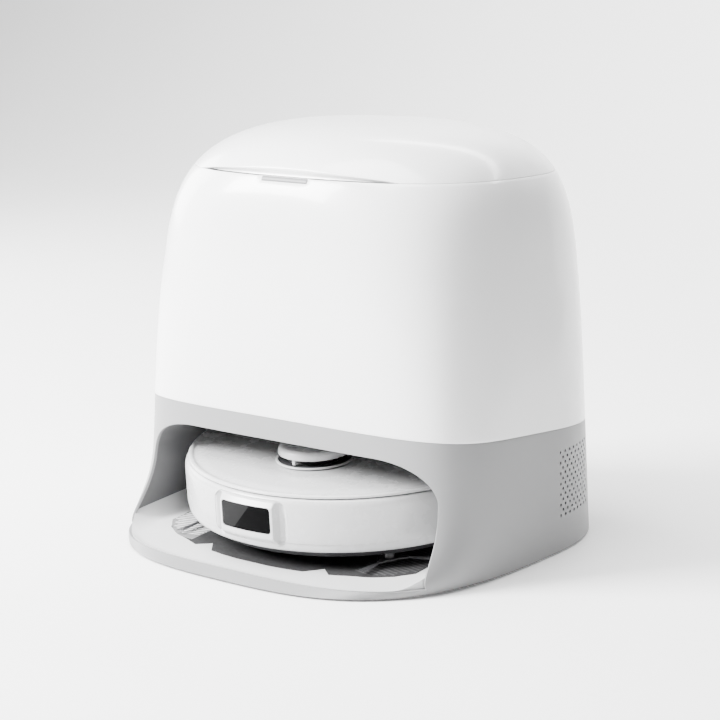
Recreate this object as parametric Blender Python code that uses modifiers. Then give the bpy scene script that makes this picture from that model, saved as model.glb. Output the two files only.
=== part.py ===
"""Robot vacuum standing in its self-washing, domed dock.

Metres, +Z up, front towards -Y.  The dock stands on z = 0 and the origin is the
centre of its footprint.  The robot hangs on a tilted empty, because the dock's
ramp holds it nose down.
"""
import math

import bmesh
import bpy
from mathutils import Matrix

# ---- driving dimensions: dock -------------------------------------------------
HEIGHT = 0.411            # floor to the top of the dome
FOOT = 0.002              # the housing's lower edge stands this far off the floor
HALF_WIDTH = 0.205        # at the floor; the sides lean in by SIDE_LEAN per metre
SIDE_LEAN = 0.032
FRONT_DEPTH = 0.162       # body centre to the front wall
BACK_DEPTH = 0.178        # body centre to the back wall, at the floor
BACK_LEAN = 0.100
DOME_START = 0.147        # above this height the walls curve in
DOME_POWER = 8.0
DOME_ROUND = 3.2
TOE_REACH = 0.096         # the toe flares this far ahead of the front wall
TOE_HEIGHT = 0.100
SQUARE_FRONT = 4.5        # superellipse exponents of the plan outline
SQUARE_GAIN = 1.75        # the front is this much squarer at the floor, fading by SQUARE_LEVEL
SQUARE_LEVEL = 0.280
SQUARE_BACK = 2.62
SQUARE_TOE = 2.8
WALL = 0.003
GAP = 0.0003              # between pieces that touch
TRIM = 0.002              # shells are made this much longer, then cut flat
SEAM_HEIGHT = 0.124       # base and dome part along this tilted plane
SEAM_SLOPE = -0.080
LID_CUT = 0.366
RING_STEPS = 48

# ---- driving dimensions: bay and ramp -----------------------------------------
BAY_TOP = 0.1155
BAY_HALF = 0.1745         # half-width where the arch's corners begin
BAY_SPREAD = 0.100        # widening per metre below that
BAY_CORNER = (0.069, 0.0440)
LIP = 0.008               # height of the toe's lip
MAT = (0.1225, -0.115)    # centre of a wheel mat, X and Y
MAT_HALF = (0.028, 0.070)
MAT_SINK = 0.0008
BAY_WALL = 0.002
RAMP_BEND = -0.187        # ahead of this the ramp flattens out

# ---- driving dimensions: robot ------------------------------------------------
ROBOT_R = 0.170
ROBOT_Y = -0.038          # robot centre, from the dock body's centre
ROBOT_Z = 0.020           # the ramp's height under the robot's centre
TILT = math.radians(4.7)
SIDE_LOW = 0.018          # bumper's lower edge
COVER_LOW = 0.0705        # underside of the top cover
PAN_R = 0.1620
PAN_LOW = 0.010
PAN_FLOOR = 0.013
BUMPER_INNER = 0.1660
BUMPER_SPLIT = 0.006      # the bumper ends here, the rear shell starts SPLIT_GAP on
SPLIT_GAP = 0.0045
LIDAR_Y = -0.064
WINDOW = (0.029, 0.035, 0.060)       # half-width, low, high
FRAME_PAD = (0.044, 0.0225, 0.0665)
WHEEL_R = 0.031
WHEEL_X = 0.1145
WHEEL_WIDTH = 0.020
ARM_X = 0.1005
ARM_PIVOT = (0.046, 0.034)           # y, z
CASTER_Y = -0.115
CASTER_R = 0.012
CASTER_TRAIL = 0.005
BRUSH_Y = -0.052
BRUSH_R = 0.0192
SIDE_BRUSH = (0.112, -0.100)
MOP = (0.064, 0.088)
MOP_R = 0.060

# ---- driving dimensions: inside the dome --------------------------------------
DECK = (0.1215, 0.1245)
TANK_X = (0.006, 0.150)
TANK_Y = (-0.110, 0.040)
TANK_Z = (0.1250, 0.3290)
CAP_TOP = 0.3360
BAIL_REACH = 0.046
HINGE = (0.1405, 0.3655)             # y, z
VENT_Y = (0.012, 0.086)
VENT_Z = (0.034, 0.103)


# ---- scene and materials ------------------------------------------------------
def clear_scene():
    for obj in list(bpy.data.objects):
        bpy.data.objects.remove(obj, do_unlink=True)


def make_collection(name):
    collection = bpy.data.collections.new(name)
    bpy.context.scene.collection.children.link(collection)
    return collection


def make_material(name, colour, roughness, metallic=0.0):
    made = bpy.data.materials.new(name)
    made.use_nodes = True
    shader = made.node_tree.nodes["Principled BSDF"]
    shader.inputs["Base Color"].default_value = (*colour, 1.0)
    shader.inputs["Roughness"].default_value = roughness
    shader.inputs["Metallic"].default_value = metallic
    return made


clear_scene()
PARTS = make_collection("robot_vacuum_dock")
CUTTERS = make_collection("cutters")

COLOURS = {
    "gloss_white": ((0.82, 0.83, 0.84), 0.12, 0.0),
    "pale_grey": ((0.60, 0.62, 0.64), 0.38, 0.0),
    "robot_white": ((0.80, 0.81, 0.82), 0.25, 0.0),
    "bay_grey": ((0.10, 0.105, 0.11), 0.55, 0.0),
    "tray_grey": ((0.16, 0.165, 0.17), 0.50, 0.0),
    "dark_plastic": ((0.03, 0.03, 0.032), 0.45, 0.0),
    "black_glass": ((0.01, 0.01, 0.011), 0.06, 0.0),
    "rubber": ((0.035, 0.035, 0.035), 0.80, 0.0),
    "tank_plastic": ((0.55, 0.62, 0.66), 0.20, 0.0),
    "board_green": ((0.03, 0.16, 0.07), 0.50, 0.0),
    "steel": ((0.60, 0.60, 0.61), 0.35, 1.0),
    "contact_metal": ((0.75, 0.62, 0.35), 0.30, 1.0),
    "fibre": ((0.22, 0.24, 0.28), 0.95, 0.0),
}
MATERIALS = {name: make_material(name, *look) for name, look in COLOURS.items()}


# ---- plan outline of the dock -------------------------------------------------
def dome_factor(z):
    climb = max(0.0, min(1.0, (z - DOME_START) / (HEIGHT - DOME_START)))
    return climb, (1.0 - climb ** DOME_POWER) ** (1.0 / DOME_ROUND)


def outline_at(z, angle, grow=0.0):
    """Point of the housing's plan outline at height z, in direction angle."""
    climb, dome = dome_factor(z)
    flare = max(0.0, 1.0 - z / TOE_HEIGHT) ** 3
    half = (HALF_WIDTH - SIDE_LEAN * z) * dome + grow
    across, along = math.cos(angle), math.sin(angle)
    if along < 0.0:
        depth = (FRONT_DEPTH + 0.010 * z) * dome + TOE_REACH * flare + grow
        power = SQUARE_FRONT + SQUARE_GAIN * max(0.0, 1.0 - z / SQUARE_LEVEL)
        power += (SQUARE_TOE - power) * flare
        power += (2.0 - SQUARE_FRONT) * climb ** 2
    else:
        depth = (BACK_DEPTH - BACK_LEAN * z) * dome + grow
        power = SQUARE_BACK + (2.0 - SQUARE_BACK) * climb ** 2
    reach = (abs(across) / half) ** power + (abs(along) / depth) ** power
    radius = reach ** (-1.0 / power)
    return radius * across, radius * along


def seam_height(angle):
    return SEAM_HEIGHT + SEAM_SLOPE * outline_at(SEAM_HEIGHT, angle)[1]


def housing_ring(height, grow=0.0):
    """One closed ring of points; height is a number or a function of the angle."""
    ring = []
    for step in range(RING_STEPS):
        angle = math.tau * step / RING_STEPS
        z = height(angle) if callable(height) else height
        ring.append((*outline_at(z, angle, grow), z))
    return ring


def between(low, high, share):
    """Height function a share of the way from one height function to another."""
    def height(angle):
        bottom = low(angle) if callable(low) else low
        top = high(angle) if callable(high) else high
        return bottom + share * (top - bottom)
    return height


# ---- building blocks ----------------------------------------------------------
DOCK = bpy.data.objects.new("dock_frame", None)
PARTS.objects.link(DOCK)
front_edge = outline_at(FOOT, -math.pi / 2)[1]
back_edge = outline_at(FOOT, math.pi / 2)[1]
DOCK.location = (0, -(front_edge + back_edge) / 2, 0)

ROBOT = bpy.data.objects.new("robot_frame", None)
PARTS.objects.link(ROBOT)
ROBOT.parent = DOCK
ROBOT.location = (0, ROBOT_Y, ROBOT_Z)
ROBOT.rotation_euler = (TILT, 0, 0)


def place(mesh, name, look, parent, at=(0, 0, 0), turn=(0, 0, 0)):
    """Put a mesh in the scene: a part when it has a look, otherwise a cutter."""
    obj = bpy.data.objects.new(name, mesh)
    obj.parent = parent
    obj.location = at
    obj.rotation_euler = turn
    if look is None:
        CUTTERS.objects.link(obj)
        obj.hide_render = True
        obj.display_type = "WIRE"
        return obj
    PARTS.objects.link(obj)
    mesh.materials.append(MATERIALS[look])
    mesh.shade_smooth()
    mesh.set_sharp_from_angle(angle=math.radians(35))
    return obj


def to_mesh(bm, name):
    bmesh.ops.recalc_face_normals(bm, faces=bm.faces[:])
    mesh = bpy.data.meshes.new(name)
    bm.to_mesh(mesh)
    bm.free()
    return mesh


def modify_boolean(obj, other, operation="DIFFERENCE"):
    boolean = obj.modifiers.new(operation.lower(), "BOOLEAN")
    boolean.operation = operation
    boolean.object = other
    return obj


def bevel(obj, width, segments=2, angle=40):
    rounding = obj.modifiers.new("rounding", "BEVEL")
    rounding.width = width
    rounding.segments = segments
    rounding.limit_method = "ANGLE"
    rounding.angle_limit = math.radians(angle)
    return obj


def box(name, low, high, look, parent=DOCK, turn=(0, 0, 0)):
    centre = [(a + b) / 2 for a, b in zip(low, high)]
    size = [b - a for a, b in zip(low, high)]
    bm = bmesh.new()
    bmesh.ops.create_cube(bm, size=1.0, matrix=Matrix.Diagonal((*size, 1.0)))
    return place(to_mesh(bm, name), name, look, parent, centre, turn)


def cylinder(name, radius, length, at, look, parent=DOCK, turn=(0, 0, 0), steps=20):
    bm = bmesh.new()
    bmesh.ops.create_cone(bm, cap_ends=True, segments=steps, radius1=radius,
                          radius2=radius, depth=length)
    return place(to_mesh(bm, name), name, look, parent, at, turn)


def flat(name, outline, thickness, look, parent=DOCK, at=(0, 0, 0), turn=(0, 0, 0)):
    """A flat outline, thickened evenly to both sides of its plane."""
    curve = bpy.data.curves.new(name, "CURVE")
    curve.dimensions = "2D"
    curve.fill_mode = "BOTH"
    curve.extrude = thickness / 2
    spline = curve.splines.new("POLY")
    spline.points.add(len(outline) - 1)
    for point, (x, y) in zip(spline.points, outline):
        point.co = (x, y, 0, 1)
    spline.use_cyclic_u = True
    return place(mesh_of_curve(curve, name), name, look, parent, at, turn)


def tube(name, points, radius, look, parent=DOCK, at=(0, 0, 0)):
    curve = bpy.data.curves.new(name, "CURVE")
    curve.dimensions = "3D"
    curve.bevel_depth = radius
    curve.bevel_resolution = 2
    curve.use_fill_caps = True
    spline = curve.splines.new("POLY")
    spline.points.add(len(points) - 1)
    for point, place_at in zip(spline.points, points):
        point.co = (*place_at, 1)
    return place(mesh_of_curve(curve, name), name, look, parent, at)


def mesh_of_curve(curve, name):
    guide = bpy.data.objects.new(name + "_guide", curve)
    CUTTERS.objects.link(guide)
    mesh = bpy.data.meshes.new_from_object(guide.evaluated_get(refreshed()))
    bpy.data.objects.remove(guide, do_unlink=True)
    bm = bmesh.new()
    bm.from_mesh(mesh)
    bmesh.ops.remove_doubles(bm, verts=bm.verts[:], dist=0.00001)
    return to_mesh(bm, name)


def refreshed():
    bpy.context.view_layer.update()
    return bpy.context.evaluated_depsgraph_get()


def turned(name, profile, look, parent=DOCK, at=(0, 0, 0), steps=64):
    """Turn a closed profile of (radius, height) points about the Z axis."""
    mesh = bpy.data.meshes.new(name)
    touches_axis = profile[0][0] == 0.0
    count = len(profile)
    edges = [(i, i + 1) for i in range(count - 1)]
    if not touches_axis:
        edges.append((count - 1, 0))
    mesh.from_pydata([(r, 0, z) for r, z in profile], edges, [])
    obj = place(mesh, name, look, parent, at)
    screw = obj.modifiers.new("turn", "SCREW")
    screw.steps = steps
    screw.render_steps = steps
    screw.use_merge_vertices = True
    screw.merge_threshold = 0.00001
    return obj


def loft(name, rings, look, closed, summit=None):
    """Skin a stack of equal rings; closed adds the end caps, summit a top point."""
    bm = bmesh.new()
    grid = [[bm.verts.new(point) for point in ring] for ring in rings]
    count = len(rings[0])
    for lower, upper in zip(grid, grid[1:]):
        for i in range(count):
            j = (i + 1) % count
            bm.faces.new((lower[i], lower[j], upper[j], upper[i]))
    if closed:
        bm.faces.new(grid[0])
        bm.faces.new(grid[-1])
    if summit:
        peak = bm.verts.new(summit)
        for i in range(count):
            bm.faces.new((grid[-1][i], grid[-1][(i + 1) % count], peak))
    return place(to_mesh(bm, name), name, look, DOCK)


def solidify(obj, thickness):
    wall = obj.modifiers.new("wall", "SOLIDIFY")
    wall.thickness = thickness
    wall.offset = -1.0
    wall.use_even_offset = True
    return obj


def arc(cx, cy, radius, start, end, steps):
    """Points along an arc, angles in degrees."""
    points = []
    for step in range(steps + 1):
        angle = math.radians(start + (end - start) * step / steps)
        points.append((cx + radius * math.cos(angle), cy + radius * math.sin(angle)))
    return points


def rounded_rectangle(low, high, radius, steps=3):
    corners = ((high[0] - radius, high[1] - radius, 0), (low[0] + radius, high[1] - radius, 90),
               (low[0] + radius, low[1] + radius, 180), (high[0] - radius, low[1] + radius, 270))
    points = []
    for cx, cy, start in corners:
        points += arc(cx, cy, radius, start, start + 90, steps)
    return points


def circle(radius, steps, cx=0.0, cy=0.0):
    return arc(cx, cy, radius, 0, 360 - 360 / steps, steps - 1)


# ---- dock housing -------------------------------------------------------------
def housing_solid(name, grow, low, high, levels):
    """Closed solid of the housing's outline, for trimming what lies inside it."""
    rings = [housing_ring(low + (high - low) * i / levels, grow) for i in range(levels + 1)]
    return loft(name, rings, None, True)


def housing_inside():
    """Closed solid of the room within the housing's wall, for trimming what fills it."""
    solid = housing_solid("inside_cutter", 0.0, -0.012, 0.140, 38)
    inset = solid.modifiers.new("inset", "DISPLACE")
    inset.strength = -WALL - 7 * GAP
    inset.mid_level = 0.0
    return solid


def arch_outline(grow, low):
    """Inverted U of the bay's mouth, in X and Z, with superelliptic corners."""
    corner_x, corner_z = BAY_CORNER
    bend = BAY_TOP - corner_z
    right = [(BAY_HALF + BAY_SPREAD * (bend - low) + grow, low)]
    for step in range(9):
        angle = math.radians(90 * step / 8)
        x = BAY_HALF - corner_x + corner_x * math.cos(angle) ** (2 / 2.3)
        z = bend + corner_z * math.sin(angle) ** (2 / 2.3)
        push_x = grow * math.cos(angle)
        push_z = grow * math.sin(angle)
        right.append((x + push_x, z + push_z))
    return right + [(-x, z) for x, z in reversed(right)]


def bay_prism(name, grow, low, y_low, y_high):
    return flat(name, arch_outline(grow, low), y_high - y_low, None,
                at=(0, (y_low + y_high) / 2, 0), turn=(math.pi / 2, 0, 0))


def bay_plan(name, radius):
    """Plan of the bay: straight sides, and a round end behind the robot."""
    outline = [(radius, -0.300)] + arc(0, ROBOT_Y, radius, 0, 180, 32) + [(-radius, -0.300)]
    return flat(name, outline, 0.40, None)


def bay_void():
    void = bay_prism("bay_void_cutter", 0.0, FOOT - 0.010, -0.300, 0.200)
    return modify_boolean(void, bay_plan("bay_plan_cutter", 0.1795), "INTERSECT")


def vent_window(side):
    low = (0.150 if side > 0 else -0.250, VENT_Y[0], VENT_Z[0])
    high = (0.250 if side > 0 else -0.150, VENT_Y[1], VENT_Z[1])
    return box(f"vent_window_cutter_{side}", low, high, None)


def base_shell():
    shares = (0.0, 0.05, 0.12, 0.22, 0.35, 0.51, 0.71, 1.0)
    rings = [housing_ring(FOOT - 2 * TRIM)]
    rings += [housing_ring(between(FOOT + GAP, seam_height, share)) for share in shares]
    shell = solidify(loft("base_shell", rings, "pale_grey", False), WALL)
    modify_boolean(shell, box("floor_cutter", (-0.300, -0.300, -0.050), (0.300, 0.300, FOOT), None))
    modify_boolean(shell, bay_prism("mouth_cutter", 0.0, LIP, -0.300, 0.0))
    for side in (1, -1):
        modify_boolean(shell, vent_window(side))
    inlet = box("inlet_cutter", (-0.0165, 0.140, 0.0265), (0.0165, 0.200, 0.0495), None)
    modify_boolean(shell, inlet)


def dome_shell():
    shares = (0.0, 0.16, 0.45, 0.66, 0.82, 0.92, 1.0)

    def start(angle):
        return seam_height(angle) + 2 * GAP
    rings = [housing_ring(between(start, LID_CUT + TRIM, share)) for share in shares]
    shell = solidify(loft("dome_shell", rings, "gloss_white", False), WALL)
    modify_boolean(shell, box("dome_trim_cutter", (-0.300, -0.300, LID_CUT - GAP),
                              (0.300, 0.300, 0.500), None))


def lid_shell():
    heights = [LID_CUT - TRIM]
    climbs = (0.880, 0.925, 0.957, 0.980, 0.9945)
    heights += [DOME_START + climb * (HEIGHT - DOME_START) for climb in climbs]
    rings = [housing_ring(height) for height in heights]
    lid = solidify(loft("lid_shell", rings, "gloss_white", False, (0, 0, HEIGHT)), WALL)
    modify_boolean(lid, box("lid_trim_cutter", (-0.300, -0.300, 0.300),
                            (0.300, 0.300, LID_CUT + GAP), None))
    groove = cylinder("finger_groove_cutter", 0.070, 0.040, (0, -0.187, LID_CUT + 0.0305), None,
                      steps=48, turn=(math.radians(62), 0, 0))
    modify_boolean(lid, groove)


def bottom_plate(inside):
    outline = [point[:2] for point in housing_ring(FOOT)]
    plate = flat("bottom_plate", outline, 0.002, "dark_plastic", at=(0, 0, FOOT + 0.001))
    modify_boolean(plate, inside, "INTERSECT")


def feet():
    places = {"front_left": (-0.130, -0.165), "front_right": (0.130, -0.165),
              "rear_left": (-0.120, 0.105), "rear_right": (0.120, 0.105)}
    for corner, (x, y) in places.items():
        cylinder(f"foot_{corner}", 0.012, FOOT - GAP, (x, y, (FOOT - GAP) / 2), "rubber")


def ramp_top(y):
    """Height of the ramp under the robot, just clear of its wheels."""
    level = ROBOT_Z - 0.0006 + math.tan(TILT) * (max(y, RAMP_BEND) - ROBOT_Y)
    if y < RAMP_BEND:
        level -= (RAMP_BEND - y) * 0.032
    return level


def wash_tray(inside):
    """Sloping floor of the bay, a wedge trimmed to the bay and the toe."""
    low = FOOT + 0.002 + GAP
    profile = [(-0.245, low), (0.132, low), (0.132, ramp_top(0.132)),
               (RAMP_BEND, ramp_top(RAMP_BEND)), (-0.245, ramp_top(-0.245))]
    wedge = flat("wash_tray", profile, 0.344, "tray_grey", turn=(math.pi / 2, 0, math.pi / 2))
    modify_boolean(wedge, bay_plan("tray_plan_cutter", 0.1715), "INTERSECT")
    modify_boolean(wedge, inside, "INTERSECT")
    for side in (1, -1):
        pocket = mat_pocket(side)
        modify_boolean(wedge, pocket)


def mat_pocket(side):
    """Cutter for a mat's shallow seat, lying on the slope."""
    half_x = MAT_HALF[0] + GAP
    half_y = MAT_HALF[1] + GAP
    half_z = 0.010
    pocket = box(f"mat_pocket_cutter_{side}", (-half_x, -half_y, -half_z), (half_x, half_y, half_z),
                 None, turn=(TILT, 0, 0))
    lift = half_z - MAT_SINK
    pocket.location = (side * MAT[0], MAT[1] - lift * math.sin(TILT),
                       ramp_top(MAT[1]) + lift * math.cos(TILT))
    return pocket


def ramp_mats():
    """Ridged rubber strips ahead of the wheels, let into the ramp."""
    ridge, pitch = 0.0005, 0.010
    half = MAT_HALF[1]
    for name, side in (("right", 1), ("left", -1)):
        outline = [(-half, -MAT_SINK + GAP), (half, -MAT_SINK + GAP)]
        for row in range(round(2 * half / pitch)):
            y = half - pitch * row
            outline += [(y, ridge), (y - 0.4 * pitch, ridge), (y - 0.5 * pitch, 0.0),
                        (y - 0.9 * pitch, 0.0)]
        flat(f"ramp_mat_{name}", outline, 2 * MAT_HALF[0], "rubber",
             at=(side * MAT[0], MAT[1], ramp_top(MAT[1])), turn=(math.pi / 2, -TILT, math.pi / 2))


def bay_housing(inside):
    """Tunnel around the robot: arched section, round end, open to the front."""
    body = flat("bay_housing", arch_outline(BAY_WALL, 0.0060), 0.500, "bay_grey",
                at=(0, -0.050, 0), turn=(math.pi / 2, 0, 0))
    modify_boolean(body, bay_plan("bay_outer_plan_cutter", 0.1815), "INTERSECT")
    modify_boolean(body, inside, "INTERSECT")
    modify_boolean(body, bay_void())


def vent_grille(side):
    """Curved panel that follows the side wall, pierced by rows of holes."""
    name = "vent_grille_right" if side > 0 else "vent_grille_left"
    columns, rows = 3, 2
    bm = bmesh.new()
    grid = []
    for row in range(rows + 1):
        z = VENT_Z[0] + 0.0004 + (VENT_Z[1] - VENT_Z[0] - 0.0008) * row / rows
        line = []
        for column in range(columns + 1):
            y = VENT_Y[0] + 0.0004 + (VENT_Y[1] - VENT_Y[0] - 0.0008) * column / columns
            depth = BACK_DEPTH - BACK_LEAN * z
            half = HALF_WIDTH - SIDE_LEAN * z
            x = half * (1 - (y / depth) ** SQUARE_BACK) ** (1 / SQUARE_BACK)
            line.append(bm.verts.new((side * (x - 0.0006), y, z)))
        grid.append(line)
    for lower, upper in zip(grid, grid[1:]):
        for i in range(columns):
            bm.faces.new((lower[i], lower[i + 1], upper[i + 1], upper[i]))
    if side < 0:
        bmesh.ops.reverse_faces(bm, faces=bm.faces[:])
    mesh = bpy.data.meshes.new(name)
    bm.to_mesh(mesh)
    bm.free()
    grille = solidify(place(mesh, name, "pale_grey", DOCK), 0.0024)
    for row in range(3):
        for column in range(3):
            y = VENT_Y[0] + 0.017 + 0.020 * column
            z = VENT_Z[0] + 0.0145 + 0.020 * row
            modify_boolean(grille, cylinder(f"{name}_hole_cutter_{row}{column}", 0.006, 0.080,
                                            (side * 0.200, y, z), None, steps=6,
                                            turn=(0, math.pi / 2, 0)))


# ---- inside the dome ----------------------------------------------------------
def tank_deck():
    outline = [point[:2] for point in housing_ring(DECK[0], -WALL - 0.0008)]
    flat("tank_deck", outline, DECK[1] - DECK[0], "bay_grey", at=(0, 0, sum(DECK) / 2))


def tank(name, side):
    """Open-topped tank, its cap with two ears, and a bail handle on the ears."""
    x_low, x_high = sorted((side * TANK_X[0], side * TANK_X[1]))
    middle = ((x_low + x_high) / 2, (TANK_Y[0] + TANK_Y[1]) / 2)
    low = (x_low - middle[0], TANK_Y[0] - middle[1])
    high = (x_high - middle[0], TANK_Y[1] - middle[1])
    tall = TANK_Z[1] - TANK_Z[0]
    body = flat(f"{name}_tank", rounded_rectangle(low, high, 0.022), tall, "tank_plastic",
                at=(*middle, sum(TANK_Z) / 2))
    inner_low = (low[0] + 0.003, low[1] + 0.003)
    inner_high = (high[0] - 0.003, high[1] - 0.003)
    hollow = flat(f"{name}_tank_cutter", rounded_rectangle(inner_low, inner_high, 0.019), tall,
                  None, at=(*middle, sum(TANK_Z) / 2 + 0.003))
    modify_boolean(body, hollow)
    cap = flat(f"{name}_tank_cap", rounded_rectangle(low, high, 0.022), CAP_TOP - TANK_Z[1] - GAP,
               "dark_plastic", at=(*middle, (CAP_TOP + TANK_Z[1] + GAP) / 2))
    axis_z = CAP_TOP + 0.0050
    for ear_side in (1, -1):
        x = middle[0] + ear_side * 0.040
        ear = box(f"{name}_ear_cutter_{ear_side}", (x - 0.003, middle[1] - 0.006, CAP_TOP - 0.002),
                  (x + 0.003, middle[1] + 0.006, axis_z + 0.005), None)
        modify_boolean(cap, ear, "UNION")
    bore = cylinder(f"{name}_ear_bore_cutter", 0.0024, 0.100, (*middle, axis_z), None, steps=12,
                    turn=(0, math.pi / 2, 0))
    modify_boolean(cap, bore)
    reach, wide = BAIL_REACH, 0.049
    bend = arc(-wide + 0.010, -reach + 0.010, 0.010, 180, 270, 4)
    path = [(-0.0385, 0.0), (-0.047, 0.0), (-wide, -0.002)] + bend
    path += [(-x, y) for x, y in reversed(path)]
    tube(f"{name}_tank_handle", [(x, y, 0.0) for x, y in path], 0.0020, "dark_plastic",
         at=(*middle, axis_z))


def dock_machinery():
    bevel(box("water_pump", (0.028, 0.062, DECK[1] + GAP), (0.078, 0.112, 0.180), "dark_plastic"),
          0.004)
    blower = cylinder("drying_blower", 0.034, 0.050, (-0.085, 0.082, DECK[1] + GAP + 0.025),
                      "dark_plastic", steps=32)
    eye = cylinder("blower_eye_cutter", 0.018, 0.030, (-0.085, 0.082, 0.172), None)
    modify_boolean(blower, eye)
    box("dock_board", (-0.040, 0.1180, 0.185), (0.040, 0.1196, 0.255), "board_green")
    inlet = box("power_inlet", (-0.0162, 0.1480, 0.0268), (0.0162, 0.1745, 0.0492), "dark_plastic")
    socket = box("inlet_socket_cutter", (-0.011, 0.160, 0.032), (0.011, 0.200, 0.044), None)
    modify_boolean(inlet, socket)
    for name, x in (("left", -0.022), ("right", 0.022)):
        box(f"dock_contact_{name}", (x - 0.006, 0.1345, 0.055), (x + 0.006, 0.1365, 0.067),
            "contact_metal")


def lid_hinge():
    """Fixed ears behind the dome, a leaf on the lid, and the pin through both."""
    y, z = HINGE
    clear = housing_solid("hinge_clear_cutter", GAP, 0.335, 0.385, 10)
    bracket = box("hinge_bracket", (-0.030, 0.128, 0.345), (0.030, y + 0.005, 0.3700),
                  "pale_grey")
    modify_boolean(bracket, clear)
    swing = box("hinge_swing_cutter", (-0.040, 0.100, LID_CUT - 0.0012), (0.040, y - 0.0080, 0.400),
                None)
    modify_boolean(bracket, swing)
    between_ears = box("hinge_slot_cutter", (-0.0200, 0.100, 0.3580), (0.0200, 0.200, 0.400), None)
    modify_boolean(bracket, between_ears)
    leaf = box("lid_hinge_leaf", (-0.0192, 0.118, LID_CUT + 0.0010), (0.0192, y, LID_CUT + 0.0042),
               "pale_grey")
    knuckle = cylinder("knuckle_cutter", 0.0045, 0.0384, (0, y, z), None, turn=(0, math.pi / 2, 0))
    modify_boolean(leaf, knuckle, "UNION")
    modify_boolean(leaf, clear)
    bore = cylinder("hinge_bore_cutter", 0.0021, 0.100, (0, y, z), None, steps=16,
                    turn=(0, math.pi / 2, 0))
    modify_boolean(leaf, bore)
    modify_boolean(bracket, bore)
    cylinder("hinge_pin", 0.0018, 0.058, (0, y, z), "steel", steps=16, turn=(0, math.pi / 2, 0))


# ---- robot body ---------------------------------------------------------------
def side_profile(outer):
    """Section of the side wall, rounded at its upper edge."""
    top = COVER_LOW - 0.0005
    crown = [(outer - 0.0050, top)]
    crown += [(outer - 0.0050 + 0.0050 * math.sin(math.radians(a)),
               top - 0.0085 + 0.0085 * math.cos(math.radians(a))) for a in (30, 60, 90)]
    foot = [(outer, SIDE_LOW + 0.004), (outer - 0.0015, SIDE_LOW), (BUMPER_INNER + 0.0003, SIDE_LOW)]
    inner = [(BUMPER_INNER, SIDE_LOW + 0.002), (BUMPER_INNER, 0.0600),
             (outer - 0.0062, top - 0.0020)]
    return crown + foot + inner


def half_space(name, y_low, y_high):
    return box(name, (-0.300, y_low, -0.050), (0.300, y_high, 0.200), None, ROBOT)


def pad_box(name, half, low, high):
    """Rounded block that cuts the window and its frame out of the bumper's front."""
    outline = rounded_rectangle((-half, low), (half, high), 0.006)
    return flat(name, outline, 0.100, None, ROBOT, at=(0, -ROBOT_R, 0), turn=(math.pi / 2, 0, 0))


def bumper():
    half, low, high = FRAME_PAD
    shell = turned("bumper", side_profile(ROBOT_R), "robot_white", ROBOT, steps=64)
    modify_boolean(shell, half_space("bumper_split_cutter", BUMPER_SPLIT, 0.300))
    modify_boolean(shell, pad_box("frame_hole_cutter", half + GAP, low - GAP, high + GAP))
    frame_ring = [(0.1745, high + 0.005), (0.1745, low - 0.005), (0.1663, low - 0.005),
                  (0.1663, high + 0.005)]
    frame = turned("window_frame", frame_ring, "robot_white", ROBOT, steps=64)
    modify_boolean(frame, pad_box("frame_pad_cutter", half, low, high), "INTERSECT")
    half, low, high = WINDOW
    recess = turned("glass_recess_cutter", [(0.190, high + GAP), (0.190, low - GAP),
                                            (0.1697, low - GAP), (0.1697, high + GAP)],
                    None, ROBOT, steps=64)
    modify_boolean(recess, pad_box("glass_hole_cutter", half + GAP, 0.0, 0.1), "INTERSECT")
    modify_boolean(frame, recess)
    glass_ring = [(0.1740, high), (0.1740, low), (0.1700, low), (0.1700, high)]
    glass = turned("window_glass", glass_ring, "black_glass", ROBOT, steps=64)
    modify_boolean(glass, pad_box("glass_pad_cutter", half, 0.0, 0.1), "INTERSECT")


def rear_shell():
    shell = turned("rear_shell", side_profile(ROBOT_R), "robot_white", ROBOT, steps=64)
    modify_boolean(shell, half_space("rear_split_cutter", -0.300, BUMPER_SPLIT + SPLIT_GAP))


def chassis():
    profile = [(0, PAN_FLOOR), (PAN_R - 0.0045, PAN_FLOOR), (PAN_R - 0.0025, PAN_FLOOR + 0.002),
               (PAN_R - 0.0025, 0.0620), (PAN_R, 0.0620), (PAN_R, SIDE_LOW),
               (PAN_R - 0.0065, PAN_LOW), (0, PAN_LOW)]
    pan = turned("robot_chassis", profile, "dark_plastic", ROBOT, steps=56)
    for side in (1, -1):
        low = (min(side * 0.095, side * 0.1275), -0.040, 0.0)
        high = (max(side * 0.095, side * 0.1275), 0.058, 0.050)
        modify_boolean(pan, box(f"wheel_well_cutter_{side}", low, high, None, ROBOT))
        shafts = (("side_brush", SIDE_BRUSH, 0.0052), ("mop", MOP, 0.0060))
        for label, (x, y), radius in shafts:
            modify_boolean(pan, cylinder(f"{label}_hole_cutter_{side}", radius, 0.040,
                                         (side * x, y, PAN_LOW), None, ROBOT, steps=16))
    modify_boolean(pan, cylinder("caster_hole_cutter", 0.0225, 0.040, (0, CASTER_Y, PAN_LOW), None,
                                 ROBOT))
    modify_boolean(pan, box("brush_hole_cutter", (-0.088, BRUSH_Y - 0.0225, 0.0),
                            (0.088, BRUSH_Y + 0.0225, 0.050), None, ROBOT))


def top_cover():
    edge = ROBOT_R - 0.0035
    profile = [(0, COVER_LOW + 0.0040), (0.080, COVER_LOW + 0.0038), (0.130, COVER_LOW + 0.0032),
               (edge - 0.003, COVER_LOW + 0.0024), (edge, COVER_LOW + 0.0012), (edge, COVER_LOW),
               (0, COVER_LOW)]
    cover = turned("top_cover", profile, "robot_white", ROBOT, steps=56)
    modify_boolean(cover, cylinder("button_hole_cutter", 0.0073, 0.040, (0, 0.0, COVER_LOW), None,
                                   ROBOT))
    cylinder("robot_button", 0.0070, 0.0042, (0, 0, COVER_LOW + 0.0026), "robot_white", ROBOT)


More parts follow.
